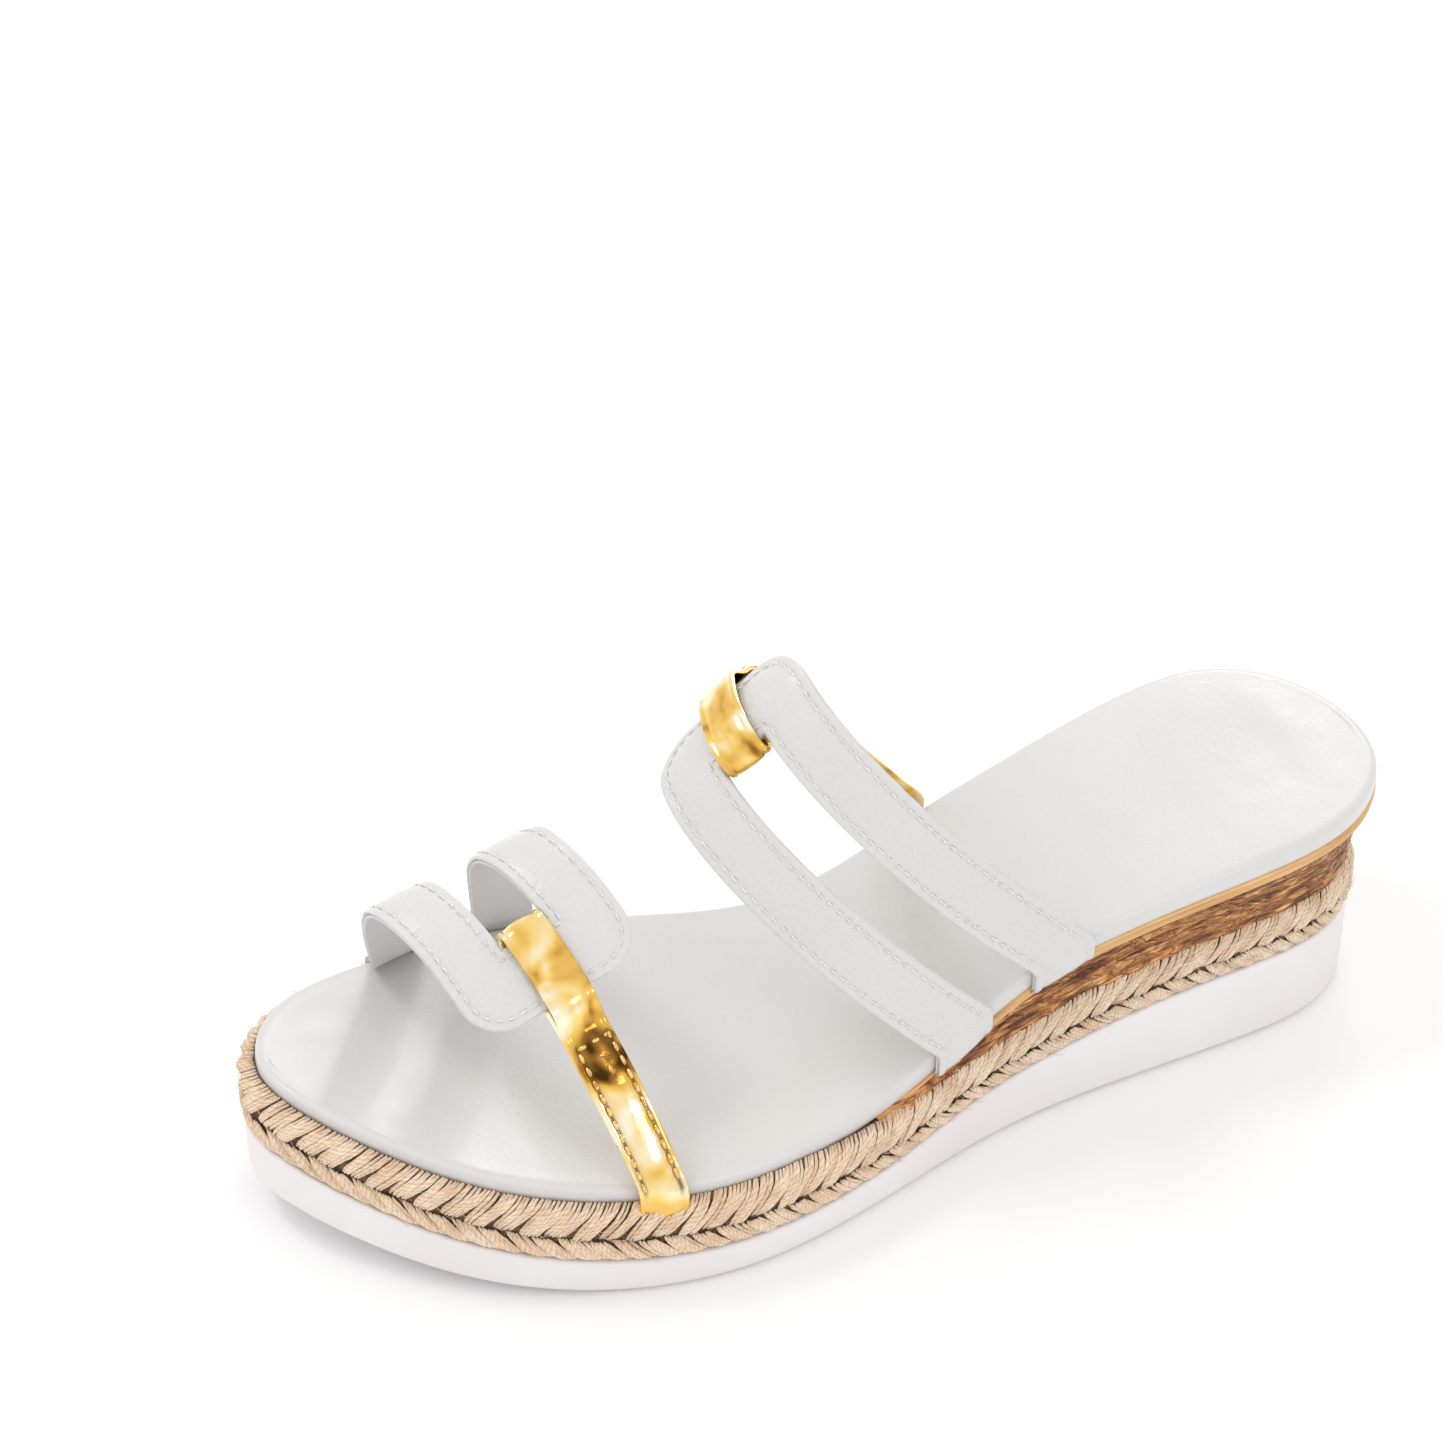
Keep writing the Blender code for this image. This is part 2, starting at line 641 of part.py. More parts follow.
def sheet(name, nodes, quads, look, collection=PARTS):
    """Closed solid from a sheet: nodes gives (inner, outer) points, quads the sheet's faces."""
    count = len(nodes)
    verts = [n[0] for n in nodes] + [n[1] for n in nodes]
    faces = [tuple(q) for q in quads] + [tuple(i + count for i in reversed(q)) for q in quads]
    edges = {}
    for q in quads:
        for a, b in zip(q, q[1:] + q[:1]):
            if (b, a) in edges:
                del edges[(b, a)]
            else:
                edges[(a, b)] = True
    for a, b in edges:
        faces.append((b, a, a + count, b + count))
    if look is None:
        return add_cutter(name, verts, faces)
    return add_mesh(name, verts, faces, look, collection)


def u_strap(arch, name, low, high, look, inset=0.0):
    """One layer of a U strap between heights low and high."""
    nodes, quads, index = [], [], {}

    def node(key, make):
        if key not in index:
            index[key] = len(nodes)
            nodes.append((make(low), make(high)))
        return index[key]

    def half(s):
        root, top = arch.gaps
        gap = root + (top - root) * min(max(s / arch.slot, 0.0), 1.0)
        inner, outer = gap / 2 + inset, gap / 2 + BAND_WIDTH - inset
        past = s - (arch.end - inset - arch.corner)
        if past > 0:
            outer -= arch.corner - math.sqrt(max(arch.corner**2 - past**2, 0.0))
        return inner, outer

    legs = list(np.linspace(2.0, arch.slot + inset, 21))
    round_end = arch.end - inset
    bar = [round_end - arch.corner * (1 - math.sin(math.radians(a))) for a in (0, 30, 55, 75, 90)]
    bar = [s for s in [arch.slot + inset + 2.5] + bar if s > arch.slot + inset + 1.0]
    for sign in (-1, 1):
        rows = []
        for k, q in enumerate(arch.tuck_rows(0)):
            i, o = half(0.0)
            rows.append([node((sign, "t", k, c), lambda h, q=q, v=sign * v: arch.tucked(0, q, v, h))
                         for c, v in enumerate((i, (i + o) / 2, o))])
        for k, s in enumerate(legs):
            i, o = half(s)
            rows.append([node((sign, "s", k, c), lambda h, s=s, v=sign * v: arch.point(s, v, h))
                         for c, v in enumerate((i, (i + o) / 2, o))])
        for k, s in enumerate(bar):
            i, o = half(s)
            rows.append([node((sign, "b", k, c), lambda h, s=s, v=sign * v: arch.point(s, v, h))
                         for c, v in enumerate((i, (i + o) / 2, o))])
        for r0, r1 in zip(rows[:-1], rows[1:]):
            for c in range(2):
                quad = [r0[c], r0[c + 1], r1[c + 1], r1[c]]
                quads.append(quad if sign > 0 else quad[::-1])
    # the bar between the two arms
    rows = [("s", len(legs) - 1)] + [("b", k) for k in range(len(bar))]
    for (kind0, k0), (kind1, k1) in zip(rows[:-1], rows[1:]):
        a0, a1 = index[(-1, kind0, k0, 0)], index[(1, kind0, k0, 0)]
        b0, b1 = index[(-1, kind1, k1, 0)], index[(1, kind1, k1, 0)]
        quads.append([a0, a1, b1, b0])
    return sheet(name, nodes, quads, look)


def metal_strap(arch, name, look):
    """Metallic strap: up from the sole, over the crossbar, round it and back underneath."""
    half = METAL_WIDTH / 2
    over = LINING_THICK + UPPER_THICK + GAP + 2 * GAP + 2 * THREAD
    rows = []
    for q in arch.tuck_rows(1):
        rows.append([(arch.tucked(1, q, v, 0.0), arch.tucked(1, q, v, METAL_THICK))
                     for v in (-half, 0.0, half)])

    def level(s):
        return over * (1 - float(smoothstep(arch.end + 0.6, arch.end + 8.0, s)))

    upper = list(np.linspace(arch.length - 2.0, arch.end + 8.0, 14))
    upper += [arch.end + d for d in (6.0, 4.3, 2.6, 0.6)]
    upper += [arch.end - CROSSBAR * f for f in (0.25, 0.5, 0.75, 1.0)]
    for s in upper:
        h = level(s)
        rows.append([(arch.point(s, v, h), arch.point(s, v, h + METAL_THICK))
                     for v in (-half, 0.0, half)])
    lap = -2 * GAP
    radius = (over - lap) / 2
    middle = (over + lap) / 2
    for angle in (30, 60, 90, 120, 150):
        c, z = math.cos(math.radians(angle)), math.sin(math.radians(angle))
        rows.append([(arch.point(arch.slot - z * radius, v, middle + c * radius),
                      arch.point(arch.slot - z * (radius + METAL_THICK), v,
                                 middle + c * (radius + METAL_THICK)))
                     for v in (-half, 0.0, half)])
    under = np.linspace(arch.slot, arch.length - arch.spec["tail_end"], 14)
    for s in under:
        rows.append([(arch.point(s, v, lap), arch.point(s, v, lap - METAL_THICK))
                     for v in (-half, 0.0, half)])
    nodes = [pair for row in rows for pair in row]
    quads = []
    for r in range(len(rows) - 1):
        for c in range(2):
            a = r * 3 + c
            quads.append([a, a + 1, a + 4, a + 3])
    return sheet(name, nodes, quads, look)


def thread(name, points, look):
    """Thread as a thin tube along points, each given with its outward direction."""
    sides = 4
    p = np.array([q[0] for q in points])
    verts, faces = [], []
    for i in range(len(p)):
        t = unit(p[min(i + 1, len(p) - 1)] - p[max(i - 1, 0)])
        out = points[i][1]
        out = unit(out - t * (out @ t))
        side = np.cross(t, out)
        for k in range(sides):
            a = math.radians(45 + 90 * k)
            r = THREAD * math.sqrt(2) * 0.9
            verts.append(tuple(p[i] + r * (out * math.sin(a) + side * math.cos(a))))
    for i in range(len(p) - 1):
        for k in range(sides):
            m = (k + 1) % sides
            faces.append((i * sides + k, i * sides + m, (i + 1) * sides + m, (i + 1) * sides + k))
    faces.append(tuple(range(sides)))
    faces.append(tuple((len(p) - 1) * sides + k for k in range(sides)))
    return add_mesh(name, verts, faces, look)


def on_arch(arch, s, v, h):
    p, q = arch.point(s, v, h), arch.point(s, v, h + 1.0)
    return p, q - p


def u_seams(arch, prefix):
    """Two stitch lines on a U strap: round its outside and round its slot."""
    h = LINING_THICK + GAP + UPPER_THICK + GAP + THREAD
    root, top = arch.gaps

    def gap(s):
        return root + (top - root) * min(max(s / arch.slot, 0.0), 1.0)

    start = 5.0
    r = arch.corner - SEAM_INSET
    turn = arch.end - arch.corner
    line = [(s, -(gap(s) / 2 + BAND_WIDTH - SEAM_INSET)) for s in np.linspace(start, turn, 26)]
    edge = gap(arch.end) / 2 + BAND_WIDTH - arch.corner
    for a in (22, 45, 67, 90):
        line.append((turn + r * math.sin(math.radians(a)),
                     -(edge + r * math.cos(math.radians(a)))))
    line += [(arch.end - SEAM_INSET, v) for v in (-edge * 0.5, 0.0)]
    line += [(s, -v) for s, v in line[-2::-1]]
    thread(prefix + "_strap_outer_seam", [on_arch(arch, s, v, h) for s, v in line], "seam")
    inner = arch.slot + SEAM_INSET
    line = [(s, -(gap(s) / 2 + SEAM_INSET)) for s in np.linspace(start, inner, 26)]
    line += [(inner, v) for v in (-gap(inner) / 4, 0.0)]
    line += [(s, -v) for s, v in line[-2::-1]]
    thread(prefix + "_strap_slot_seam", [on_arch(arch, s, v, h) for s, v in line], "seam")


def metal_seam(arch, prefix):
    """One line of stitching up one edge, across below the loop and down the other edge."""
    h = METAL_THICK + GAP + THREAD
    v = METAL_WIDTH / 2 - 1.4
    top, foot = arch.end + 10.0, arch.length - 5.0
    line = [(s, -v) for s in np.linspace(foot, top, 16)] + [(top, 0.0)]
    line += [(s, v) for s in np.linspace(top, foot, 16)]
    thread(prefix + "_metal_seam", [on_arch(arch, s, w, h) for s, w in line], "metal_seam")


def pocket(arch, end, name, low, high, half, centre=0.0):
    """Room for one strap end in the wedge and in what wraps it."""
    rows = []
    vs = (centre - half - POCKET, centre, centre + half + POCKET)
    lo, hi = low - POCKET + 0.02, high + POCKET
    for k, q in enumerate(arch.tuck_rows(end)):
        row = []
        for v in vs:
            a, b = arch.tucked(end, q, v, max(lo, -arch.clear[end] + 0.02)), \
                arch.tucked(end, q, v, hi)
            if k == 0:
                p, n = arch.rims[end].at(v)
                a[:2] -= n * POCKET
                b[:2] -= n * POCKET
            row.append((a, b))
        rows.append(row)
    for s in (2.5, 5.0):
        s = s if end == 0 else arch.length - s
        rows.append([(arch.point(s, v, lo), arch.point(s, v, hi)) for v in vs])
    nodes = [pair for row in rows for pair in row]
    quads = [[r * 3 + c, r * 3 + c + 1, r * 3 + c + 4, r * 3 + c + 3]
             for r in range(len(rows) - 1) for c in range(2)]
    return sheet(name, nodes, quads, None)


def build_set(spec):
    arch = Arch(spec)
    prefix = spec["prefix"]
    lining_top = LINING_THICK
    upper_top = LINING_THICK + GAP + UPPER_THICK
    u_strap(arch, prefix + "_strap_lining", 0.0, lining_top, "strap_lining")
    u_strap(arch, prefix + "_strap_upper", lining_top + GAP, upper_top, "strap_upper")
    metal_strap(arch, prefix + "_metal_strap", "metal_strap")
    u_seams(arch, prefix)
    metal_seam(arch, prefix)
    mid = arch.gaps[0] / 2 + BAND_WIDTH / 2
    cutters = [pocket(arch, 0, prefix + "_pocket_front", 0.0, upper_top, BAND_WIDTH / 2, -mid),
               pocket(arch, 0, prefix + "_pocket_rear", 0.0, upper_top, BAND_WIDTH / 2, mid),
               pocket(arch, 1, prefix + "_pocket_metal", 0.0, METAL_THICK, METAL_WIDTH / 2)]
    return arch, cutters


toe_arch, toe_cutters = build_set(TOE_SET)
instep_arch, instep_cutters = build_set(INSTEP_SET)
for cutter in toe_cutters + instep_cutters:
    cut(wedge_core, cutter)
    cut(jute_braid, cutter)
for cutter in instep_cutters:
    cut(cork_wrap, cutter)

# The middle of the sole's footprint box, at floor height, is the origin.
corners = np.array([v.co for obj in PARTS.objects if obj.type == "MESH"
                    for v in obj.data.vertices])
middle = (corners.min(axis=0) + corners.max(axis=0)) / 2
ROOT.location = (-float(middle[0]), -float(middle[1]), 0.0)
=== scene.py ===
"""White wedge sandal: looks of every piece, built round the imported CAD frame."""
import math

import bmesh
import bpy
import numpy as np
from mathutils import Matrix, Vector, noise


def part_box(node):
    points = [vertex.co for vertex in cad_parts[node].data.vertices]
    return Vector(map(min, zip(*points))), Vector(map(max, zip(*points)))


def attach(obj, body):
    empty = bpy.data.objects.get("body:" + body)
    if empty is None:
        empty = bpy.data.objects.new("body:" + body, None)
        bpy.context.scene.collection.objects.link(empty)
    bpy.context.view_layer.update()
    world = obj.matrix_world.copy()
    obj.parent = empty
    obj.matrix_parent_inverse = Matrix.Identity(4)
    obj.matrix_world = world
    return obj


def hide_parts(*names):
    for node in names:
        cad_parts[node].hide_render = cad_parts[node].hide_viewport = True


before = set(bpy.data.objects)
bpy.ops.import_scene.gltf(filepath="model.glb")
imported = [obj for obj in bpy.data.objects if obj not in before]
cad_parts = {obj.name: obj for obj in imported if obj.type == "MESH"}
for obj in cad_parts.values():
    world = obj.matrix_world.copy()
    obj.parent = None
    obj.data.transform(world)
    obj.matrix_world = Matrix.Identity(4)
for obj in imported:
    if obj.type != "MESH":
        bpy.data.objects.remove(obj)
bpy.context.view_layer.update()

MM = 0.001

# ------------------------------------------------------------------ sizes shared with the CAD, mm
GAP = 0.3
PLATFORM, HEEL_SEAT = 25.0, 54.0
TOE_LIFT, TOE_SPRING = 13.5, 8.5
SOLE_BALL, SOLE_HEEL = 8.3, 0.39 * HEEL_SEAT
SOLE_WALL, SOLE_FLARE, SOLE_TUCK = 4.5, 3.2, 3.2
RIM_TURN = (0.44, 0.88)     # stations between which the flared rim turns into a tucked one
WALL_LIFT = 0.84            # share of the toe's lift, less its spring, that the wall takes
BRAID_FORE, BRAID_HEEL = 14.3, 11.8
BRAID_THICK, BRAID_BULGE = 2.9, 0.6
BRAID_CHANGE = (0.34, 0.50)  # stations between which the braid goes to its height at the heel
CORK_THICK, CORK_START = 1.3, 0.50
CORK_LEAST = 1.2            # room for cork that the braid leaves under the insole
CORK_REACH = 0.045          # how far the cork runs on past its start, thinning away
COVER_THICK, FOAM_THICK, BOARD_THICK = 0.8, 1.8, 1.8
INSOLE = COVER_THICK + FOAM_THICK + BOARD_THICK + 2 * GAP
HEEL_DISH = 1.0
TREAD_DEPTH, TREAD_WIDTH, TREAD_PITCH, TREAD_MARGIN = 1.0, 3.0, 9.5, 9.0
TREAD_SPAN, TREAD_WAIST = (0.27, 0.93), (0.47, 0.60)   # stations with grooves, and without
BAND_WIDTH, METAL_WIDTH = 14.0, 10.0
LINING_THICK, UPPER_THICK, METAL_THICK = 0.7, 0.9, 1.2
CROSSBAR, SLOT_PLAY, TUCK = 15.0, 0.6, 9.0
SEAM_INSET, METAL_SEAM_INSET = 2.0, 1.4

# Footbed outline as (station, share of the ball width); toe 0, heel 1.
TOE_TIP = (0.0, -0.165)
HEEL_TIP = (1.0, 0.045)
OUTER_SIDE = [(0.045, 0.10), (0.12, 0.30), (0.22, 0.44), (0.325, 0.495), (0.45, 0.445),
              (0.58, 0.377), (0.70, 0.377), (0.83, 0.397), (0.935, 0.350), (0.988, 0.215)]
INNER_SIDE = [(0.982, -0.135), (0.93, -0.272), (0.85, -0.299), (0.73, -0.262), (0.62, -0.243),
              (0.49, -0.291), (0.385, -0.412), (0.285, -0.50), (0.19, -0.505), (0.09, -0.44),
              (0.025, -0.31)]
CLIMB = [(0.0, 0.0), (0.36, 0.0), (0.40, 0.01), (0.45, 0.05), (0.50, 0.148), (0.55, 0.325),
         (0.60, 0.53), (0.65, 0.70), (0.70, 0.81), (0.78, 0.935), (0.88, 1.03), (1.0, 1.09)]
WALL_CLIMB = [(0.0, 0.0), (0.38, 0.0), (0.44, 0.03), (0.50, 0.175), (0.55, 0.36), (0.60, 0.50),
              (0.65, 0.635), (0.70, 0.785), (0.75, 0.895), (0.80, 0.96), (0.88, 1.0), (1.0, 1.0)]
LIFT = [(0.0, 1.0), (0.05, 0.74), (0.10, 0.48), (0.15, 0.28), (0.20, 0.133), (0.25, 0.045),
        (0.30, 0.0), (1.0, 0.0)]
SPRING = [(0.0, 1.0), (0.05, 0.65), (0.10, 0.38), (0.15, 0.18), (0.20, 0.05), (0.25, 0.0),
          (1.0, 0.0)]
TOE_SET = dict(
    prefix="toe", side=-1, strap_station=0.222, metal_station=0.254,
    apex_station=0.189, apex_across=-0.107, rise=43.4, run=(1.0, 0.30, 0.0),
    reach=(0.387, 0.472), strap_handle=(0.378, -0.058, 0.33), metal_handle=(0.235, -0.067, 0.383),
    lean=(12.0, 8.9, 16.7), yaw=(-7.6, -4.3, -4.6), root_gap=10.4, slot_share=0.565,
    corner=9.0, tail_end=11.0)
INSTEP_SET = dict(
    prefix="instep", side=1, strap_station=0.592, metal_station=0.62,
    apex_station=0.407, apex_across=-0.028, rise=73.7, run=(-1.0, 0.34, 0.02),
    reach=(0.31, 0.444), strap_handle=(-0.005, -0.31, 0.28), metal_handle=(0.104, -0.331, 0.39),
    lean=(32.4, 45.0, 25.6), yaw=(-15.0, 9.0, -1.0), root_gap=10.4, slot_share=0.462,
    corner=11.0, tail_end=52.0)

LENGTH, BALL_WIDTH = 248.0, 91.0
OUTLINE_POINTS = 1800
# The footbed's own box in the frame says where the outline lies in it.
COVER_LOW, COVER_HIGH = (np.array(c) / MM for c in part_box("footbed_cover"))


# ================================================================== curves and the outline
def smooth_through(points):
    """Return a smooth function through (x, y) points, flat outside them."""
    x = np.array([p[0] for p in points], float)
    y = np.array([p[1] for p in points], float)
    step = np.diff(y) / np.diff(x)
    slope = np.zeros(len(x))
    for i in range(1, len(x) - 1):
        if step[i - 1] * step[i] > 0:
            slope[i] = 2 * step[i - 1] * step[i] / (step[i - 1] + step[i])
    slope[0], slope[-1] = step[0], step[-1]

    def value(q):
        q = np.clip(np.asarray(q, float), x[0], x[-1])
        i = np.clip(np.searchsorted(x, q, side="right") - 1, 0, len(x) - 2)
        h = x[i + 1] - x[i]
        t = (q - x[i]) / h
        return ((2 * t**3 - 3 * t**2 + 1) * y[i] + (t**3 - 2 * t**2 + t) * h * slope[i]
                + (3 * t**2 - 2 * t**3) * y[i + 1] + (t**3 - t**2) * h * slope[i + 1])
    return value


def closed_spline(points, count):
    """Periodic cubic spline through points, spaced by chord length."""
    p = np.array(points, float)
    n = len(p)
    h = np.linalg.norm(np.roll(p, -1, axis=0) - p, axis=1)
    a = np.zeros((n, n))
    rhs = np.zeros((n, 2))
    for i in range(n):
        before, after = h[i - 1], h[i]
        a[i, i - 1] += before
        a[i, i] += 2 * (before + after)
        a[i, (i + 1) % n] += after
        rhs[i] = 6 * ((p[(i + 1) % n] - p[i]) / after - (p[i] - p[i - 1]) / before)
    m = np.linalg.solve(a, rhs)
    ends = np.concatenate([[0], np.cumsum(h)])
    out = []
    for q in np.linspace(0, ends[-1], count, endpoint=False):
        i = min(int(np.searchsorted(ends, q, side="right")) - 1, n - 1)
        j, s = (i + 1) % n, h[i]
        u, w = (ends[i + 1] - q) / s, (q - ends[i]) / s
        out.append(u * p[i] + w * p[j] + ((u**3 - u) * m[i] + (w**3 - w) * m[j]) * s * s / 6)
    return np.array(out)


def smoothstep(a, b, x):
    t = np.clip((np.asarray(x, float) - a) / (b - a), 0, 1)
    return t * t * (3 - 2 * t)


def sin_cos(degrees):
    return math.sin(math.radians(degrees)), math.cos(math.radians(degrees))


def arc_lengths(points):
    """Distance along a line of points, from the first of them to each."""
    step = np.linalg.norm(np.diff(points, axis=0), axis=1)
    return np.concatenate([[0], np.cumsum(step)])


def on_line(s, arc, line):
    """Points of a line at the distances s along it."""
    return np.stack([np.interp(s, arc, column) for column in line.T], axis=-1)


def station(y):
    """Share of the footbed's length, 0 at the toe and 1 at the heel."""
    return np.asarray(y, float) / LENGTH + 0.5


def outline_point(pair):
    return (pair[1] * BALL_WIDTH, (pair[0] - 0.5) * LENGTH)


OUTLINE = closed_spline([outline_point(p) for p in
                         [TOE_TIP] + OUTER_SIDE + [HEEL_TIP] + INNER_SIDE], OUTLINE_POINTS)
OUTLINE = np.roll(OUTLINE, -int(OUTLINE[:, 1].argmin()), axis=0)
BACK = int(OUTLINE[:, 1].argmax())
OUTER_LINE = OUTLINE[: BACK + 1]                                   # both from toe to heel
INNER_LINE = np.vstack([OUTLINE[BACK:], OUTLINE[:1]])[::-1]
SHIFT = np.append((COVER_LOW + COVER_HIGH)[:2] / 2
                  - (OUTLINE.min(axis=0) + OUTLINE.max(axis=0)) / 2, 0.0)
climb, wall_climb = smooth_through(CLIMB), smooth_through(WALL_CLIMB)
lift, spring = smooth_through(LIFT), smooth_through(SPRING)


def footbed_z(y):
    """Top of the insole."""
    t = station(y)
    return PLATFORM + (HEEL_SEAT - PLATFORM) * climb(t) + TOE_LIFT * lift(t)


def floor_z(y):
    """Underside of the sole, which springs up at the toe."""
    return TOE_SPRING * spring(station(y))


def wall_z(y):
    """Top of the rubber wall."""
    t = station(y)
    thick = SOLE_BALL + (TOE_LIFT - TOE_SPRING) * WALL_LIFT * lift(t)
    return thick + (SOLE_HEEL - SOLE_BALL) * wall_climb(t) + floor_z(y)


def under_z(y):
    """Underside of the insole."""
    return footbed_z(y) - INSOLE


def braid_foot(y):
    return wall_z(y) + GAP * 0.3


def braid_z(y):
    """Top of the braid: it stays under the insole, and leaves room for the cork behind it."""
    t = station(y)
    tall = BRAID_FORE + (BRAID_HEEL - BRAID_FORE) * smoothstep(*BRAID_CHANGE, t)
    room = under_z(y) - GAP - CORK_LEAST + 4.0 * (1 - smoothstep(0.42, CORK_START, t))
    return np.minimum(wall_z(y) + GAP + tall, room)


def rim_offset(t):
    """How far the rubber rim stands outside the footbed outline."""
    return SOLE_FLARE - (SOLE_FLARE + SOLE_TUCK) * smoothstep(*RIM_TURN, t)


class Edge:
    """The footbed outline by arc length: toe tip, outer side, heel, inner side and back."""

    def __init__(self):
        self.loop = np.vstack([OUTLINE, OUTLINE[:1]])
        self.arc = arc_lengths(self.loop)
        self.length = float(self.arc[-1])
        t = np.roll(OUTLINE, -3, axis=0) - np.roll(OUTLINE, 3, axis=0)
        t /= np.linalg.norm(t, axis=1)[:, None]
        n = np.column_stack([t[:, 1], -t[:, 0]])
        self.normal = np.vstack([n, n[:1]])

    def at(self, u):
        """Edge points and outward directions at the arc lengths u."""
        u = np.mod(np.asarray(u, float), self.length)
        n = on_line(u, self.arc, self.normal)
        return on_line(u, self.arc, self.loop), n / np.linalg.norm(n, axis=1)[:, None]

    def station(self, u):
        return station(self.at(u)[0][:, 1])


EDGE = Edge()


# ================================================================== mesh helpers
def new_object(name, points, faces, uv=None):
    """One object from millimetre points in the CAD's own plan, moved to the frame's origin."""
    mesh = bpy.data.meshes.new(name)
    moved = (np.asarray(points, float) + SHIFT) * MM
    mesh.from_pydata(moved.tolist(), [], [tuple(int(i) for i in f) for f in faces])
    if uv is not None:
        layer = mesh.uv_layers.new(name="UVMap")
        index = np.zeros(len(mesh.loops), int)
        mesh.loops.foreach_get("vertex_index", index)
        layer.data.foreach_set("uv", (np.asarray(uv, float)[index] * MM).ravel())
    mesh.validate()
    mesh.polygons.foreach_set("use_smooth", [True] * len(mesh.polygons))
    mesh.update()
    obj = bpy.data.objects.new(name, mesh)
    bpy.context.scene.collection.objects.link(obj)
    return obj


def grid_faces(rows, cols, wrap_rows=False, wrap_cols=False):
    """Quads of a grid of points, closed on itself along its rows or its columns if asked."""
    r = np.arange(rows if wrap_rows else rows - 1)
    c = np.arange(cols if wrap_cols else cols - 1)
    r, c = np.meshgrid(r, c, indexing="ij")
    r1, c1 = (r + 1) % rows, (c + 1) % cols
    return np.stack([r * cols + c, r * cols + c1, r1 * cols + c1, r1 * cols + c],
                    axis=-1).reshape(-1, 4)


def outward(obj):
    """Turn every face of a closed piece outwards."""
    bm = bmesh.new()
    bm.from_mesh(obj.data)
    bmesh.ops.recalc_face_normals(bm, faces=bm.faces[:])
    bm.to_mesh(obj.data)
    bm.free()


def finish_piece(obj, look, slot, *nodes):
    """Give a piece its material and body, and hide the CAD nodes it replaces; the slot argument is
    not used.
    """
    obj.data.materials.append(look)
    outward(obj)
    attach(obj, "root")
    if nodes:
        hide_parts(*nodes)
    return obj


def mark_points(obj, name, values):
    """Store one number for each point, for the material to read."""
    obj.data.attributes.new(name, "FLOAT", "POINT").data.foreach_set("value", values)


def noise3(x, y, z):
    return noise.noise(Vector((float(x), float(y), float(z))))


def tube(points, ups, radii, sides, flat=1.0):
    """Vertices and faces of a tube; flat squeezes it along its up direction."""
    p = np.asarray(points, float)
    t = np.gradient(p, axis=0)
    t /= np.linalg.norm(t, axis=1)[:, None]
    up = np.asarray(ups, float)
    up = up - t * (up * t).sum(axis=1)[:, None]
    up /= np.linalg.norm(up, axis=1)[:, None]
    side = np.cross(t, up)
    a = 2 * np.pi * np.arange(sides) / sides
    r = np.asarray(radii, float).reshape(-1, 1, 1)
    ring = (p[:, None] + r * (side[:, None] * np.cos(a)[None, :, None]
                              + up[:, None] * np.sin(a)[None, :, None] * flat))
    n = len(p)
    verts = ring.reshape(-1, 3)
    faces = [tuple(f) for f in grid_faces(n, sides, wrap_cols=True)]
    faces.append(tuple(range(sides)))
    faces.append(tuple((n - 1) * sides + k for k in range(sides)))
    return verts, faces


class Heap:
    """Many small closed meshes gathered into one object."""

    def __init__(self):
        self.verts, self.faces, self.uv, self.count = [], [], [], 0

    def add(self, verts, faces, uv=None):
        self.verts.append(verts)
        self.faces.extend(tuple(i + self.count for i in f) for f in faces)
        self.uv.append(np.zeros((len(verts), 2)) if uv is None else uv)
        self.count += len(verts)

    def build(self, name):
        return new_object(name, np.vstack(self.verts), self.faces, np.vstack(self.uv))


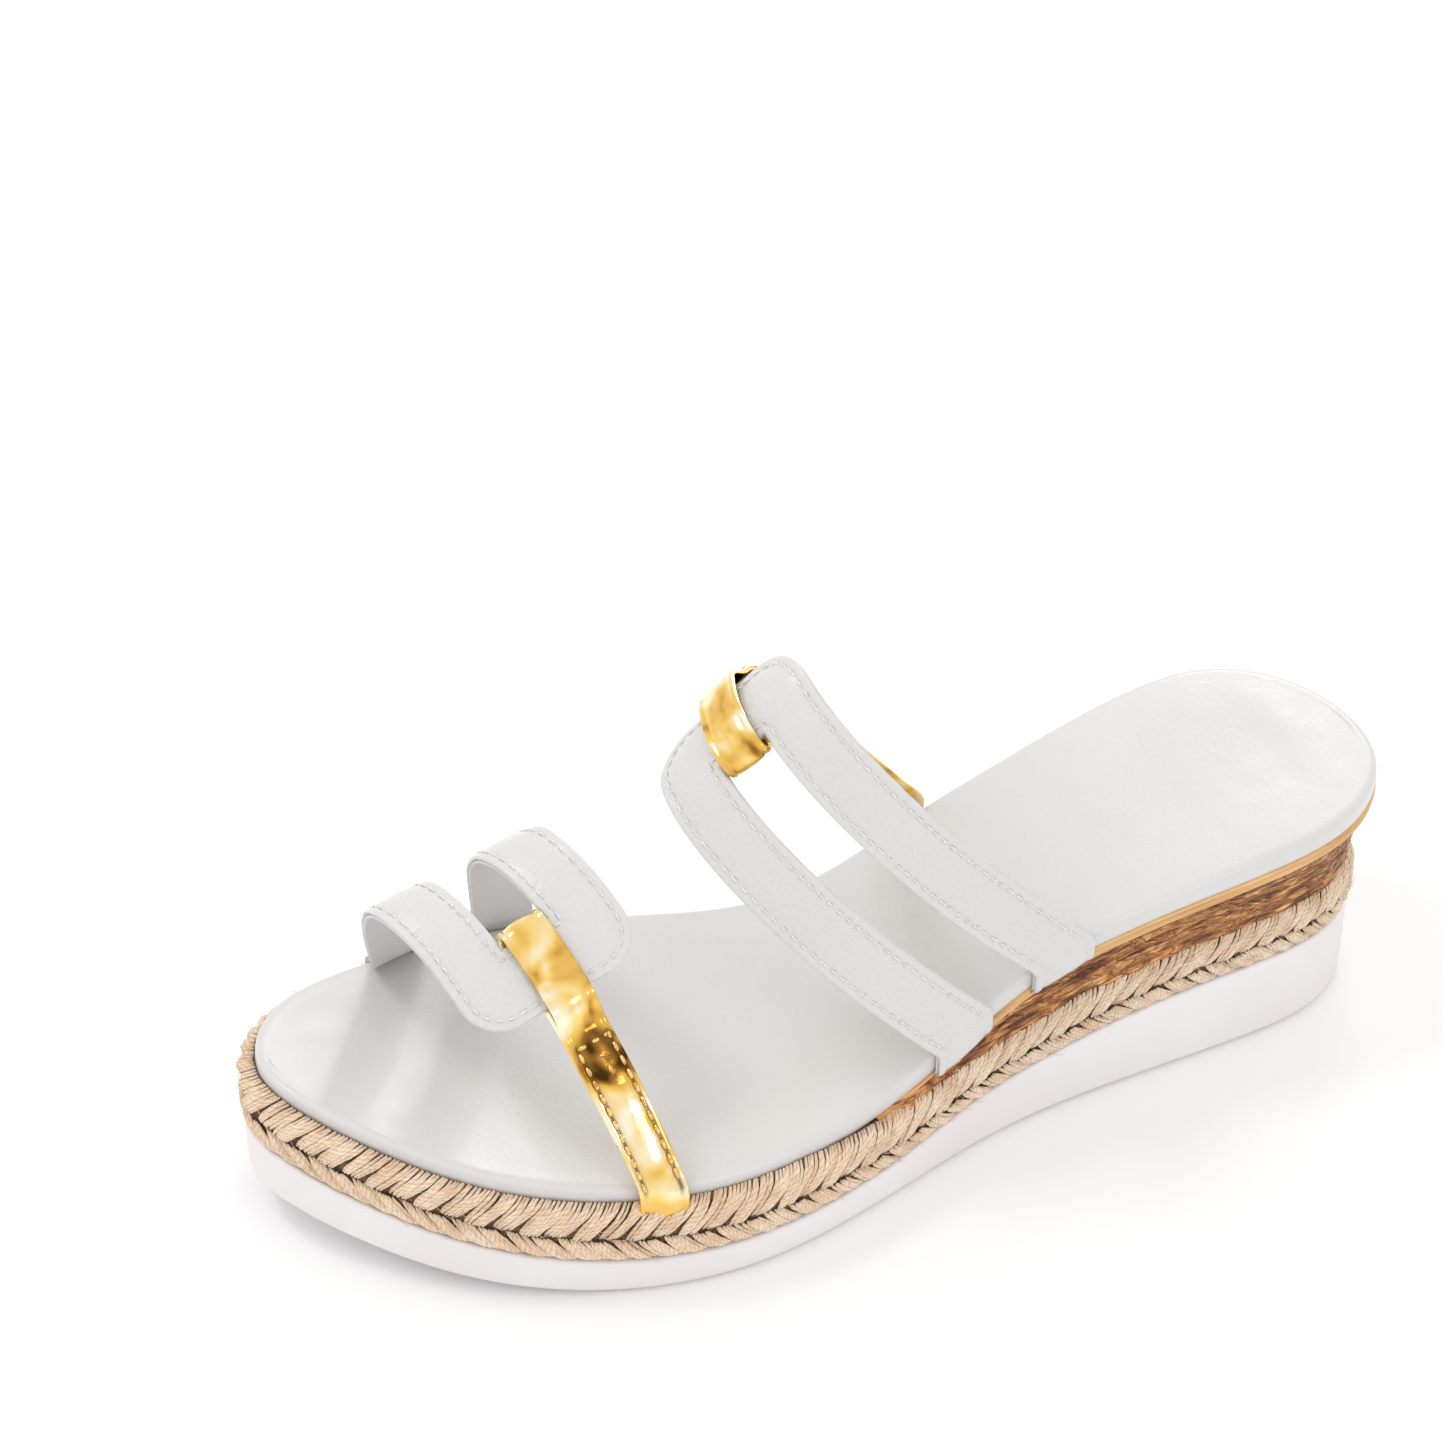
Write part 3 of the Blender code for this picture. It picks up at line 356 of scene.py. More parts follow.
# ================================================================== material helpers
class Look:
    """A Principled material and short calls that wire its procedural nodes."""

    def __init__(self, name, colour, roughness, metallic=0.0, **sockets):
        self.mat = bpy.data.materials.new(name)
        self.mat.use_nodes = True
        self.tree = self.mat.node_tree
        self.shader = self.tree.nodes["Principled BSDF"]
        self.feed(self.shader, {"Base Color": (*colour, 1.0), "Roughness": roughness,
                                "Metallic": metallic})
        self.feed(self.shader, {key.replace("_", " "): value for key, value in sockets.items()})
        self.height = None

    def feed(self, node, inputs):
        """Give each input its value, or link it where the value is another node's socket."""
        for key, value in inputs.items():
            if isinstance(value, bpy.types.NodeSocket):
                self.tree.links.new(value, node.inputs[key])
            else:
                node.inputs[key].default_value = value

    def node(self, kind, inputs, **settings):
        made = self.tree.nodes.new(kind)
        for key, value in settings.items():
            setattr(made, key, value)
        self.feed(made, inputs)
        return made

    def place(self, scale=(1, 1, 1), uv=False):
        """Texture position in metres, stretched by scale."""
        coord = self.node("ShaderNodeTexCoord", {}).outputs["UV" if uv else "Object"]
        return self.node("ShaderNodeMapping", {"Vector": coord, "Scale": scale}).outputs["Vector"]

    def noise(self, where, scale, detail=3.0, roughness=0.55, distortion=0.0):
        return self.node("ShaderNodeTexNoise", {
            "Vector": where, "Scale": scale, "Detail": detail, "Roughness": roughness,
            "Distortion": distortion}).outputs["Fac"]

    def cells(self, where, scale):
        made = self.node("ShaderNodeTexVoronoi", {"Vector": where, "Scale": scale})
        return made.outputs["Distance"]

    def mark(self, name):
        """A number that the mesh carries at each point."""
        return self.node("ShaderNodeAttribute", {}, attribute_name=name).outputs["Fac"]

    def ramp(self, source, stops):
        made = self.node("ShaderNodeValToRGB", {"Fac": source})
        ends = made.color_ramp.elements
        while len(ends) < len(stops):
            ends.new(0.5)
        for element, (at, colour) in zip(ends, stops):
            element.position = at
            element.color = (*colour, 1.0)
        return made.outputs["Color"]

    def blend(self, share, a, b, mode="MIX"):
        a, b = ((*c, 1.0) if isinstance(c, tuple) else c for c in (a, b))
        return self.node("ShaderNodeMix", {0: share, 6: a, 7: b}, data_type="RGBA",
                         blend_type=mode).outputs[2]

    def range(self, source, low, high, start=0.0, stop=1.0):
        """Values from start to stop turned into values from low to high."""
        return self.node("ShaderNodeMapRange", {
            "Value": source, "From Min": start, "From Max": stop, "To Min": low,
            "To Max": high}).outputs["Result"]

    def ridge(self, source):
        """Distance from the middle of a noise: zero along thin winding lines."""
        for operation, second in (("SUBTRACT", 0.5), ("ABSOLUTE", 0.5), ("MULTIPLY", 4.0)):
            source = self.node("ShaderNodeMath", {0: source, 1: second},
                               operation=operation).outputs[0]
        return source

    def colour(self, source):
        self.feed(self.shader, {"Base Color": source})

    def rough(self, source):
        self.feed(self.shader, {"Roughness": source})

    def bump(self, source, strength, distance):
        """Add one more layer of bump, distance in metres."""
        made = self.node("ShaderNodeBump", {"Height": source, "Strength": strength,
                                            "Distance": distance})
        if self.height is not None:
            self.feed(made, {"Normal": self.height})
        self.height = made.outputs["Normal"]
        self.feed(self.shader, {"Normal": self.height})


def white_leather(name, colour, roughness, grain):
    """Smooth coated leather: fine pebble grain with painted shade in its pits, faint creases and
    handling marks.
    """
    look = Look(name, colour, roughness, Coat_Weight=0.25, Coat_Roughness=0.16,
                Specular_IOR_Level=0.5)
    where = look.place()
    broad = look.noise(where, 22.0, 3.0)
    # the shade colour below is only a slightly darker tone, spread at random by broad noise
    shade = tuple(c * 0.955 for c in colour)
    # darkening at the centres of these cells is painted shade in the pits of the grain; the same
    # cells press the pits in below
    pit_shade = look.ramp(look.cells(where, 1100.0), [(0.0, (0.90, 0.895, 0.89)), (0.35, (1, 1, 1))])
    look.colour(look.blend(grain, look.ramp(broad, [(0.32, shade), (0.68, colour)]), pit_shade,
                           "MULTIPLY"))
    look.rough(look.range(look.noise(where, 160.0, 5.0, 0.7), roughness - 0.14,
                          roughness + 0.16))
    look.bump(look.cells(where, 1100.0), grain, 0.00016)
    look.bump(look.noise(where, 480.0, 5.0, 0.65), grain, 0.0004)
    look.bump(look.noise(where, 55.0, 2.0), 0.25, 0.0006)
    return look.mat


def thread_look(name, colour, dark):
    """Twisted thread: fine diagonal ply lines and lighter crowns."""
    look = Look(name, colour, 0.55, Sheen_Weight=0.15)
    where = look.place()
    fibre = look.noise(where, 2600.0, 3.0)
    look.colour(look.ramp(fibre, [(0.3, dark), (0.62, colour)]))
    look.bump(fibre, 0.5, 0.00012)
    return look.mat


def gold_thread_look():
    """Waxed gold thread, glossy on its crowns."""
    look = Look("gold_thread", (0.86, 0.55, 0.17), 0.24, 0.85)
    ply = look.noise(look.place(), 1500.0, 3.0)
    look.colour(look.ramp(ply, [(0.3, (0.45, 0.22, 0.05)), (0.55, (0.95, 0.66, 0.25))]))
    look.bump(ply, 0.4, 0.00012)
    return look.mat


def rubber_look():
    """Moulded white rubber, faintly pink, with a satin skin and tiny pits."""
    colour = (0.80, 0.76, 0.765)
    look = Look("rubber", colour, 0.42, Specular_IOR_Level=0.4)
    where = look.place()
    look.colour(look.ramp(look.noise(where, 16.0, 3.0),
                          [(0.35, (0.78, 0.725, 0.735)), (0.65, (0.82, 0.80, 0.805))]))
    look.rough(look.range(look.noise(where, 45.0, 5.0), 0.34, 0.56))
    look.bump(look.noise(where, 900.0, 3.0), 0.18, 0.00012)
    look.bump(look.noise(look.place((1, 1, 5)), 60.0, 2.0), 0.12, 0.0004)
    return look.mat


def jute_look():
    """Plaited jute: pale straw yarns, twisted plies with fibres along them, painted shade in the
    grooves between the plies.
    """
    look = Look("jute_yarn", (0.72, 0.53, 0.34), 0.85, Sheen_Weight=0.3)
    fibre = look.noise(look.place((1.0, 0.16, 1.0), uv=True), 2600.0, 4.0, 0.7)
    ply = look.node("ShaderNodeTexWave", {
        "Vector": look.place(uv=True), "Scale": 330.0, "Distortion": 2.2, "Detail": 2.0},
        bands_direction="DIAGONAL").outputs["Fac"]
    patch = look.noise(look.place(), 150.0, 3.0)
    pale = look.ramp(fibre, [(0.24, (0.40, 0.22, 0.11)), (0.37, (0.82, 0.59, 0.39)),
                             (0.52, (1.0, 0.80, 0.61)), (0.72, (1.0, 0.92, 0.80))])
    # darker in the grooves of the twisted plies, where the same waves press the bump in: painted
    # shade there
    ply_shade = look.ramp(ply, [(0.0, (0.74, 0.62, 0.48)), (0.4, (1.0, 1.0, 1.0))])
    tint = look.ramp(patch, [(0.34, (0.88, 0.80, 0.72)), (0.6, (1.0, 1.0, 1.0))])
    warm = look.blend(1.0, look.blend(0.7, pale, ply_shade, "MULTIPLY"), tint, "MULTIPLY")
    # greyer and cooler towards the waist and heel than at the forefoot
    axes = look.node("ShaderNodeSeparateXYZ", {"Vector": look.place()})
    toward_heel = look.range(axes.outputs["Y"], 0.0, 1.0, -0.02, 0.03)
    look.colour(look.blend(toward_heel, warm, look.blend(1.0, warm, (0.95, 0.98, 1.0), "MULTIPLY")))
    look.bump(ply, 0.5, 0.0002)
    look.bump(fibre, 0.9, 0.00025)
    return look.mat


def jute_backing_look():
    """Near-black fibrous ground that shows between the yarns: painted shade for the gaps between
    them.
    """
    look = Look("jute_backing", (0.16, 0.09, 0.045), 0.95)
    fibre = look.noise(look.place(), 1500.0, 4.0)
    look.colour(look.ramp(fibre, [(0.35, (0.07, 0.04, 0.02)), (0.7, (0.30, 0.19, 0.10))]))
    look.bump(fibre, 0.8, 0.0003)
    return look.mat


def cork_look():
    """Cork sheet rolled like bark: orange brown, with painted shade darkening its furrows."""
    look = Look("cork", (0.55, 0.22, 0.06), 0.42, Coat_Weight=0.2, Coat_Roughness=0.3)
    streak = look.noise(look.place((0.20, 1.0, 1.0), uv=True), 900.0, 6.0, 0.7, 0.9)
    broad = look.noise(look.place((0.35, 1.0, 1.0), uv=True), 170.0, 4.0, 0.6, 0.6)
    base = look.ramp(streak, [(0.32, (0.30, 0.095, 0.022)), (0.43, (0.56, 0.21, 0.052)),
                              (0.54, (0.78, 0.37, 0.11)), (0.70, (0.98, 0.64, 0.29))])
    tint = look.ramp(broad, [(0.33, (0.74, 0.62, 0.52)), (0.52, (1.0, 1.0, 1.0))])
    # bark: thin winding furrows that run mostly along the sole, darkened as painted shade where the
    # bump presses them in
    wander = look.noise(look.place((0.26, 1.0, 1.0), uv=True), 430.0, 3.0, 0.55, 1.2)
    furrows = look.ridge(wander)
    bark_line_shade = look.ramp(furrows, [(0.0, (0.34, 0.22, 0.15)), (0.09, (0.74, 0.62, 0.52)),
                                (0.26, (1.0, 1.0, 1.0))])
    bark = look.blend(1.0, look.blend(1.0, base, tint, "MULTIPLY"), bark_line_shade, "MULTIPLY")
    # the mesh's own furrows darken to near black: painted shade in them
    look.colour(look.blend(look.mark("furrow_shade"), bark, (0.15, 0.048, 0.016)))
    look.bump(look.ramp(furrows, [(0.0, (0, 0, 0)), (0.45, (1, 1, 1))]), 0.9, 0.0009)
    look.bump(streak, 0.6, 0.0004)
    return look.mat


def cork_layer_look():
    """Cut edges of thin pressed cork, streaked along the sole."""
    look = Look("cork_layers", (0.72, 0.42, 0.17), 0.45, Coat_Weight=0.1)
    streak = look.noise(look.place((0.05, 1.0, 1.0), uv=True), 900.0, 4.0, 0.6)
    look.colour(look.ramp(streak, [(0.3, (0.48, 0.22, 0.07)), (0.5, (0.72, 0.42, 0.17)),
                                   (0.7, (0.86, 0.58, 0.28))]))
    look.bump(streak, 0.4, 0.0002)
    return look.mat


def gold_look():
    """Gold foil on soft leather: a mirror with slow waves, painted with dark and bright reflections
    along them, and painted shade along its seams.
    """
    look = Look("gold_foil", (0.95, 0.62, 0.17), 0.09, 1.0)
    where = look.place()
    wave = look.noise(where, 88.0, 2.0, 0.5, 0.6)
    crinkle = look.noise(where, 420.0, 4.0, 0.6, 0.8)
    # painted reflections: near black and dark brown where dark surroundings would reflect, pale
    # cream as painted highlight, on the same slow waves as the bump
    body = look.ramp(wave, [(0.30, (0.07, 0.032, 0.006)), (0.37, (0.36, 0.17, 0.03)),
                            (0.43, (0.80, 0.46, 0.09)), (0.53, (0.96, 0.66, 0.20)),
                            (0.66, (1.0, 0.92, 0.68))])
    # darker along the pressed-in seams: painted shade there
    look.colour(look.blend(look.mark("seam_shade"), body, (0.13, 0.055, 0.010)))
    look.rough(look.range(crinkle, 0.05, 0.17))
    look.bump(wave, 0.35, 0.0012)
    look.bump(crinkle, 0.22, 0.00025)
    return look.mat


WHITE = (0.70, 0.69, 0.682)
LOOKS = {
    "upper": white_leather("strap_leather", WHITE, 0.27, 0.62),
    "lining": white_leather("strap_lining", (0.68, 0.67, 0.66), 0.48, 0.25),
    "cover": white_leather("insole_leather", (0.69, 0.677, 0.667), 0.32, 0.16),
    "thread": thread_look("white_thread", (0.88, 0.87, 0.86), (0.55, 0.53, 0.51)),
    "gold_thread": gold_thread_look(),
    "rubber": rubber_look(), "jute": jute_look(), "shade_backing": jute_backing_look(),
    "cork": cork_look(), "cork_layers": cork_layer_look(), "gold": gold_look(),
}


# ================================================================== the sole
PLAN_ROWS = 200


def ring_ys(extra=()):
    """Heights of the plan's rows from toe to heel, finer at both ends."""
    y0, y1 = OUTLINE[0, 1], OUTLINE[BACK, 1]
    y = y0 + (y1 - y0) * (1 - np.cos(np.pi * np.arange(1, PLAN_ROWS) / PLAN_ROWS)) / 2
    return np.unique(np.round(np.concatenate([y, np.asarray(extra, float)]), 3))


def side_x(line, y):
    """Where one side of the outline stands at y."""
    return np.interp(y, line[:, 1], line[:, 0])


class Plan:
    """The outline cut into matching outer and inner points, so that it can be capped."""

    def __init__(self, extra=()):
        y = ring_ys(extra)
        outer, inner = (np.column_stack([side_x(line, y), y]) for line in (OUTER_LINE, INNER_LINE))
        self.ring = np.vstack([OUTLINE[:1], outer, OUTLINE[BACK:BACK + 1], inner[::-1]])
        self.count, self.rows = len(self.ring), len(y) + 1
        t = np.roll(self.ring, -1, axis=0) - np.roll(self.ring, 1, axis=0)
        t /= np.linalg.norm(t, axis=1)[:, None]
        self.normal = np.column_stack([t[:, 1], -t[:, 0]])
        self.station = station(self.ring[:, 1])

    def at(self, out, height):
        xy = self.ring + self.normal * (np.asarray(out, float) * np.ones(self.count))[:, None]
        return np.column_stack([xy, height(xy[:, 1]) * np.ones(self.count)])

    def cap(self, verts, faces, base, surface, columns):
        """Fill a ring with quads whose height is surface(x, y, share across)."""
        rows = []
        for k in range(1, self.rows):
            a, b = np.array(verts[base + k]), np.array(verts[base + self.count - k])
            row = [base + k]
            for j in range(1, columns):
                f = j / columns
                p = a + (b - a) * f
                row.append(len(verts))
                verts.append((p[0], p[1], float(surface(p[0], p[1], f, a[2] + (b[2] - a[2]) * f))))
            row.append(base + self.count - k)
            rows.append(row)
        for row, tip in ((rows[0], base), (rows[-1], base + self.rows)):
            faces.extend((tip, row[j], row[j + 1]) for j in range(len(row) - 1))
        for r0, r1 in zip(rows[:-1], rows[1:]):
            faces.extend((r0[j], r0[j + 1], r1[j + 1], r1[j]) for j in range(len(r0) - 1))

    def solid(self, name, levels, bottom, top, columns=24):
        verts, faces = [], []
        for out, height in levels:
            verts.extend(map(tuple, self.at(out, height)))
        for level in range(len(levels) - 1):
            lo, hi = level * self.count, (level + 1) * self.count
            faces.extend((lo + i, lo + (i + 1) % self.count, hi + (i + 1) % self.count, hi + i)
                         for i in range(self.count))
        self.cap(verts, faces, 0, bottom, columns)
        self.cap(verts, faces, (len(levels) - 1) * self.count, top, columns)
        return new_object(name, verts, faces)


def groove_starts():
    """Where each groove of the tread begins; the waist has none."""
    y, last = ((share - 0.5) * LENGTH for share in TREAD_SPAN)
    while y < last:
        if not TREAD_WAIST[0] < float(station(y)) < TREAD_WAIST[1]:
            yield y
        y += TREAD_PITCH


def make_outsole():
    """Rubber cup: rounded foot, a wall that swells slightly, a rounded lip and a flat seat."""
    starts = list(groove_starts())
    soft, foot, lip, swell, lip_depth = 0.12, 2.4, 0.8, 0.12, 0.9
    plan = Plan([y + d for y in starts for d in (-soft, soft, TREAD_WIDTH - soft,
                                                 TREAD_WIDTH + soft)])
    rim = rim_offset(plan.station)

    def tread(x, y, share, z):
        x1, x0 = side_x(OUTER_LINE, y) - TREAD_MARGIN, side_x(INNER_LINE, y) + TREAD_MARGIN
        inside = x0 < x < x1 and any(s < y < s + TREAD_WIDTH for s in starts)
        return floor_z(y) + (TREAD_DEPTH if inside else 0.0)

    levels = []
    for s, c in map(sin_cos, (0, 15, 30, 45, 60, 75, 90)):
        levels.append((rim - foot * (1 - s), lambda y, c=c: floor_z(y) + foot * (1 - c)))
    for share in (0.25, 0.5, 0.75, 0.9):
        levels.append((rim + swell * math.sin(math.pi * share),
                       lambda y, s=share: floor_z(y) + foot
                       + (wall_z(y) - lip_depth - floor_z(y) - foot) * s))
    for s, c in map(sin_cos, (0, 30, 60, 90)):
        levels.append((rim - lip * (1 - c), lambda y, s=s: wall_z(y) - lip * (1 - s)))
    levels.append((rim - SOLE_WALL, wall_z))
    obj = plan.solid("outsole_rubber", levels, tread, lambda x, y, f, z: z - 1.5 * min(f, 1 - f))
    finish_piece(obj, LOOKS["rubber"], "outsole", "outsole")


def make_insole():
    """Padded insole: rounded rim, gently swollen, with the covering drawn down over its edge."""
    plan = Plan()
    roll, flattened = 1.3, 1.25      # height of the rounded rim, and its width as a share of that

    def top(x, y, share, z):
        t = station(y)
        dish = HEEL_DISH * smoothstep(0.62, 0.80, t) * (1 - smoothstep(0.86, 0.985, t))
        inside = 1 - (2 * share - 1) ** 2
        inside *= float(smoothstep(4, 22, y - OUTLINE[0, 1])
                        * smoothstep(4, 22, OUTLINE[BACK, 1] - y))
        swell = 0.14 * inside - dish * inside * inside
        ripple = 0.16 * noise3(x * 0.045, y * 0.045, 3.0) + 0.05 * noise3(x * 0.16, y * 0.16, 8.0)
        return float(footbed_z(y)) - 0.03 + swell + ripple * min(4 * inside, 1.0)

    levels = [(-3.0, under_z), (-0.6, under_z), (-0.15, lambda y: under_z(y) + 0.25),
              (0.0, lambda y: under_z(y) + 0.9)]
    levels += [(0.12, lambda y, s=s: under_z(y) + INSOLE * s) for s in (0.35, 0.5)]
    for s, c in map(sin_cos, (0, 15, 30, 45, 60, 75, 90)):
        levels.append((-roll * (1 - c) * flattened,
                       lambda y, s=s: footbed_z(y) - roll * (1 - s)))
    levels.append((-2.6, lambda y: footbed_z(y) - 0.02))
    obj = plan.solid("insole_cover", levels, lambda x, y, f, z: z, top, 40)
    finish_piece(obj, LOOKS["cover"], "footbed_cover", "footbed_cover", "footbed_foam",
                 "insole_board")


def make_core():
    """What shows of the wedge between the layers: a plain foam block just behind them, dark as
    painted shade in the gaps.
    """
    plan = Plan()
    rim = rim_offset(plan.station)
    inset = BRAID_THICK + 0.4
    obj = plan.solid("wedge_foam", [
        (rim - SOLE_WALL - 1.0, wall_z), (rim - inset, lambda y: wall_z(y) + 0.3),
        (rim - inset, lambda y: np.minimum(braid_z(y), under_z(y) - 0.6)),
        (-3.2, lambda y: under_z(y) - 0.4)],
        lambda x, y, f, z: z, lambda x, y, f, z: z, 8)
    finish_piece(obj, LOOKS["shade_backing"], "wedge_core", "wedge_core")


# ------------------------------------------------------------------ jute plait
YARN_PITCH, YARNS_PER_STRAND, YARN_SIDES = 0.86, 6, 6
VERTEX = 0.42             # height of the plait's points, as a share of the braid
YARN_RADIUS = 0.47
YARN_TAPER = (0.55, 0.85, 1, 1, 1, 1, 1, 0.92, 0.7)
STRAND_RISE = 0.85
HAIRS, HAIR_RADIUS = 420, 0.075


def braid_out(t, v):
    """How far the braid's face stands outside the outline at height share v."""
    swell = BRAID_BULGE * (1 - (2 * v - 1) ** 2) - 1.1 * smoothstep(0.80, 1.0, v)
    return rim_offset(t) - 0.75 + swell - 0.5 * smoothstep(0.16, 0.0, v)


def braid_point(u, v, lift_out):
    """Points lifted off the braid's face at arc length u and height share v, and their normals."""
    u, v = np.atleast_1d(u), np.atleast_1d(v)
    t = EDGE.station(u)
    p, n = EDGE.at(u)
    xy = p + n * (braid_out(t, v) + lift_out)[:, None]
    low, high = braid_foot(xy[:, 1]), braid_z(xy[:, 1])
    return np.column_stack([xy, low + (high - low) * v]), np.column_stack([n, np.zeros(len(u))])


def make_backing():
    # a dark sheet just behind the yarns: painted shade for the gaps between them
    steps = 620
    u = np.linspace(0, EDGE.length, steps, endpoint=False)
    deep = BRAID_THICK - 0.6
    profile = ((deep, 0.0), (0.35, 0.02), (0.35, 0.3), (0.35, 0.6), (0.35, 0.85), (0.7, 0.965),
               (deep, 0.965))
    rows = [braid_point(u, np.full(steps, v), np.full(steps, -back))[0] for back, v in profile]
    body = new_object("braid_backing", np.concatenate(rows),
                      grid_faces(len(rows), steps, wrap_rows=True, wrap_cols=True))
    finish_piece(body, LOOKS["shade_backing"], "jute_braid", "jute_braid")


def make_yarns(rng):
    """Two rows of slanting strands that meet in points, each strand a fan of yarns."""
    heap = Heap()
    count = int(round(EDGE.length / YARN_PITCH / YARNS_PER_STRAND)) * YARNS_PER_STRAND
    pitch = EDGE.length / count
    q = np.linspace(0, 1, len(YARN_TAPER))
    rows = ((VERTEX, 0.0, 5.6, 0.0), (VERTEX + 0.03, 0.985, 6.0, 0.5))
    for family, (v0, v1, run, stagger) in enumerate(rows):
        for k in range(count):
            strand, place = k // YARNS_PER_STRAND, k % YARNS_PER_STRAND
            place = place / (YARNS_PER_STRAND - 1) - 0.5
            bend = run * (q ** 1.15) + rng.normal(0, 0.16) + place * -1.1 * (1 - q)
            start = (k + stagger * YARNS_PER_STRAND) * pitch
            u = start + bend + rng.normal(0, 0.05, len(q))
            arch = STRAND_RISE * (1 - 3 * place * place)
            out = arch * np.sin(np.pi * np.clip(q * 0.92 + 0.06, 0, 1)) ** 0.7
            out = out + 0.35 * (1 - q) ** 3 * (1 if strand % 2 == family else -1)
            out = out - 0.9 * smoothstep(0.90, 1.0, q) + rng.normal(0, 0.06)
            p, n = braid_point(u, v0 + (v1 - v0) * q, out)
            r = YARN_RADIUS * (1 + rng.normal(0, 0.10)) * np.array(YARN_TAPER)
            verts, faces = tube(p, n, r, YARN_SIDES, 0.85)
            along = np.repeat(np.arange(len(q)) * 1.6, YARN_SIDES)
            around = np.tile(np.arange(YARN_SIDES) * 0.7, len(q))
            heap.add(verts, faces, np.column_stack([around + k * 9.7, along + k * 3.1]))
    finish_piece(heap.build("jute_plait"), LOOKS["jute"], "jute_braid")


def make_hairs(rng):
    """Loose fibres that stand off the plait."""
    heap = Heap()
    q = np.linspace(0, 1, 6)
    for _ in range(HAIRS):
        u0, v0 = rng.uniform(0, EDGE.length), rng.uniform(0.02, 0.98)
        long, lean = rng.uniform(2.0, 6.5), rng.choice([-1, 1]) * rng.uniform(0.3, 1.0)
        u = u0 + long * q * rng.uniform(0.5, 1.0)
        v = np.clip(v0 + lean * q * long / 16.0, -0.1, 1.08)
        out = STRAND_RISE + rng.uniform(0.2, 1.1) * np.sin(np.pi * q * rng.uniform(0.5, 1.0)) - 0.25
        heap.add(*tube(*braid_point(u, v, out), HAIR_RADIUS * (1 - 0.6 * q), 4))
    finish_piece(heap.build("jute_fibres"), LOOKS["jute"], "jute_braid")


def make_braid():
    rng = np.random.default_rng(11)
    make_backing()
    make_yarns(rng)
    make_hairs(rng)


# ------------------------------------------------------------------ cork
def cork_span():
    """Arc lengths where the cork starts on the outer side and ends on the inner side."""
    u = np.linspace(0, EDGE.length, 2400)
    t = EDGE.station(u)
    inside = np.where(t >= CORK_START - CORK_REACH)[0]
    return float(u[inside[0]]), float(u[inside[-1]])


def cork_surface(u, v, depth):
    """Points of the cork at arc length u and height share v, and how tall the cork is there."""
    t = EDGE.station(u)
    p, n = EDGE.at(u)
    foot, top = rim_offset(t) - 0.9, -0.7 * np.ones(len(t))
    mid = 0.5 * (foot + top) - 0.6 * smoothstep(0.5, 0.7, t)
    out = ((1 - v) * (1 - 2 * v) * foot + 4 * v * (1 - v) * mid + v * (2 * v - 1) * top)
    xy = p + n * (out + depth)[:, None]
    low, high = braid_z(xy[:, 1]) - 0.8, under_z(xy[:, 1]) + 0.1
    high = np.maximum(high, low + 0.05)
    return np.column_stack([xy, low + (high - low) * v]), high - low


def bark_ridge(u, high):
    """Ridges of the bark, mostly along the sole: about 1 on a ridge, low in a furrow."""
    warp = 1.6 * noise3(u * 0.035, high * 0.15, 1.0)
    a = noise3(u * 0.07, (high + warp) * 0.62, 5.0)
    b = noise3(u * 0.22, (high + warp) * 1.5, 9.0)
    return 1 - abs(a) * 2.4 + 0.35 * b


def make_bark(start, stop):
    steps, rows = 760, 44
    u = np.linspace(start, stop, steps)
    points, uv, furrow_shade = [], [], []
    for v in np.arange(rows) / (rows - 1):
        tall = cork_surface(u, np.full(steps, v), np.zeros(steps))[1]
        high = tall * v
        ridge = np.array([bark_ridge(*at) for at in zip(u, high)])
        fade = smoothstep(1.0, 4.0, tall)
        points.append(cork_surface(u, np.full(steps, v), 0.55 * (ridge - 0.75) * fade)[0])
        uv.append(np.column_stack([u, high]))
        # how deep a point lies in a furrow, for the painted shade there
        furrow_shade.append(np.clip((0.52 - ridge) * 2.2, 0, 0.85) * fade)
    for share, same in ((1.0, rows - 1), (0.0, 0)):
        deep = np.full(steps, -CORK_THICK - 0.4)
        points.append(cork_surface(u, np.full(steps, share), deep)[0])
        uv.append(uv[same])
        furrow_shade.append(np.zeros(steps))
    n = len(points)
    faces = [tuple(f) for f in grid_faces(n, steps, wrap_rows=True)]
    faces += [tuple(r * steps + end for r in range(n)) for end in (0, steps - 1)]
    obj = new_object("cork_bark", np.concatenate(points), faces, np.concatenate(uv))
    mark_points(obj, "furrow_shade", np.concatenate(furrow_shade))
    finish_piece(obj, LOOKS["cork"], "cork_wrap", "cork_wrap")


def make_cork_layers(start, stop):
    """Three thin layers between the bark and the insole, each a little behind the one above."""
    heap = Heap()
    steps, sides, step_back = 500, 8, 3.0
    for k in range(3):
        u = np.linspace(start + 2.0 + step_back * k, stop - 2.0 - step_back * k, steps)
        tall = cork_surface(u, np.zeros(steps), np.zeros(steps))[1]
        show = smoothstep(0.8, 2.6, tall)
        wave = np.array([0.14 * noise3(x * 0.12, k * 7.0, 2.0) for x in u])
        p, _ = cork_surface(u, np.ones(steps), 0.35 - 0.18 * k + wave - 1.3 * (1 - show))
        p[:, 2] += -0.5 - 0.92 * k + wave
        n = np.column_stack([EDGE.at(u)[1], np.zeros(steps)])
        verts, faces = tube(p, n, np.full(steps, 0.50), sides, 1.3)
        around = np.tile(np.arange(sides) * 0.5, steps)
        heap.add(verts, faces, np.column_stack([np.repeat(u, sides), around + 9 * k]))
    finish_piece(heap.build("cork_top_layers"), LOOKS["cork_layers"], "cork_wrap")


def make_cork():
    start, stop = cork_span()
    make_bark(start, stop)
    make_cork_layers(start, stop)


# ================================================================== strap sets
def unit(v):
    return v / np.linalg.norm(v)


